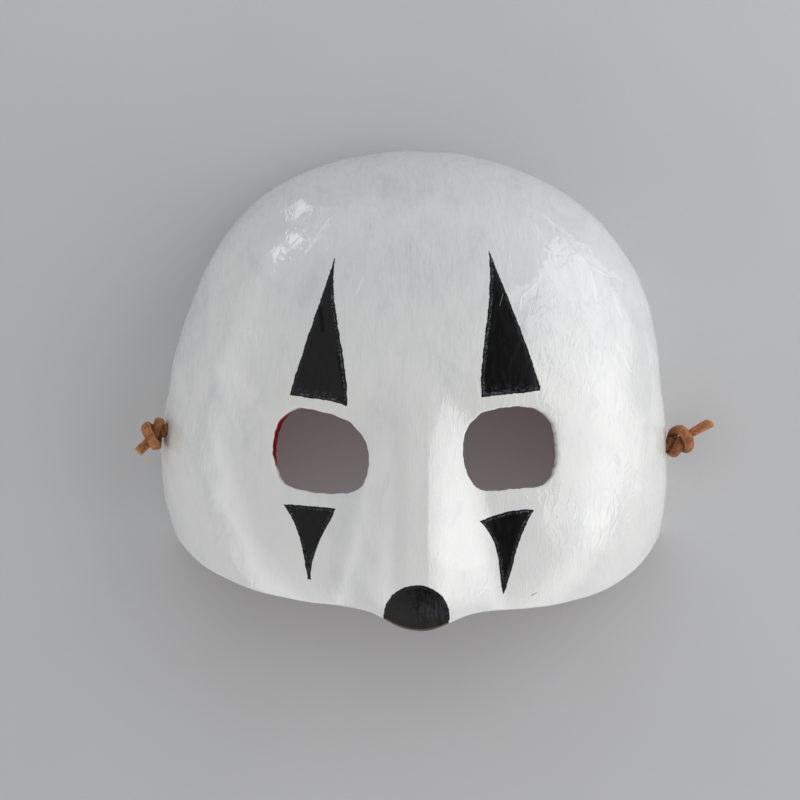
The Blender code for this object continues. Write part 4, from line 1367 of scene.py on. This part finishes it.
class MASK_OT_tie(bpy.types.Operator):
    """Makes the thong inside the mask and the knot outside each temple"""
    bl_idname = "mask.tie"
    bl_label = "Leather tie"

    def execute(self, context):
        settings = context.scene.mask_tie
        radius = settings.thong / 2.0
        finish = suede(settings)
        holes = hole_places()
        route = tie_route(holes, settings.thong)
        upward = np.broadcast_to(np.array(LACE_UP), route.shape)
        size = np.full(len(route), radius * THONG_FILL)
        cord = lace("tie_thong", route, size, size, upward, np.zeros(len(route)))
        knots = []
        for name, hole, reach, droop, slant in (
                ("left_knot", holes[0], TAIL_REACH_LEFT, TAIL_DROOP_LEFT, 0.0),
                ("right_knot", holes[1], TAIL_REACH_RIGHT, 0.0, TAIL_SLANT_RIGHT)):
            path = knot_path(*hole, reach, settings.thong)
            way = np.linspace(0.0, 1.0, len(path))
            on_tail = np.clip((way - TAIL_FROM) / (1.0 - TAIL_FROM), 0.0, 1.0)
            path[:, 1] -= droop * on_tail ** TAIL_BEND
            knots.append(self.knot(name, path, radius, slant))
        for piece, node in ((cord, "tie_cord"), (knots[0], "knot_left"), (knots[1], "knot_right")):
            piece.data.materials.append(finish)
            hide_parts(node)
            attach(piece, "root")
        return {"FINISHED"}

    def knot(self, name, path, radius, slant):
        """One knot: strands press flat against its middle, and its tail is round again."""
        way = np.linspace(0.0, 1.0, len(path))
        body = np.minimum((way - PRESSED_FROM[0]) / PRESSED_FROM[1],
                          (PRESSED_TO[0] - way) / PRESSED_TO[1])
        body = np.clip(body, 0.0, 1.0)
        middle = path[(way > 0.2) & (way < 0.8)].mean(axis=0)
        away = path - middle
        far = np.linalg.norm(away, axis=1)
        # Painted shade: 1 at the knot's middle, fading outwards.
        shade = np.clip(1.0 - far / (far.max() * 0.5), 0.0, 1.0)
        wide = radius * (KNOT_FILL + PRESSED_WIDER * body)
        thick = radius * (KNOT_FILL - PRESSED_THINNER * body)
        return lace(name, path, wide, thick, away, shade, slant)


class MASK_OT_shell(bpy.types.Operator):
    """Makes the painted shell with its eye holes and tie holes"""
    bl_idname = "mask.shell"
    bl_label = "Painted shell"

    def execute(self, context):
        settings = context.scene.mask_shell
        shell = bpy.data.objects.new("painted_shell", shell_mesh(settings))
        context.scene.collection.objects.link(shell)
        for hole in hole_places():
            drill(shell, *hole)
        shell.data.materials.append(Enamel(settings).material())
        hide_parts("mask_shell")
        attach(shell, "root")
        return {"FINISHED"}


class MASK_PT_panel(bpy.types.Panel):
    """Operators and settings in the sidebar"""
    bl_label = "Half mask"
    bl_idname = "MASK_PT_panel"
    bl_space_type = "VIEW_3D"
    bl_region_type = "UI"
    bl_category = "Half mask"

    def draw(self, context):
        for operator, settings in ((MASK_OT_stage, "mask_stage"), (MASK_OT_tie, "mask_tie"),
                                   (MASK_OT_shell, "mask_shell")):
            box = self.layout.box()
            box.operator(operator.bl_idname)
            group = getattr(context.scene, settings)
            for name in group.__annotations__:
                box.prop(group, name)


CLASSES = (ShellSettings, TieSettings, StageSettings, MASK_OT_stage, MASK_OT_tie, MASK_OT_shell,
           MASK_PT_panel)
GROUPS = {"mask_shell": ShellSettings, "mask_tie": TieSettings, "mask_stage": StageSettings}


def register():
    for item in CLASSES:
        bpy.utils.register_class(item)
    for name, group in GROUPS.items():
        setattr(bpy.types.Scene, name, bpy.props.PointerProperty(type=group))


def unregister():
    for name in GROUPS:
        delattr(bpy.types.Scene, name)
    for item in reversed(CLASSES):
        bpy.utils.unregister_class(item)


def main():
    register()
    bpy.ops.mask.stage()
    bpy.ops.mask.tie()
    bpy.ops.mask.shell()


if __name__ == "__main__":
    main()
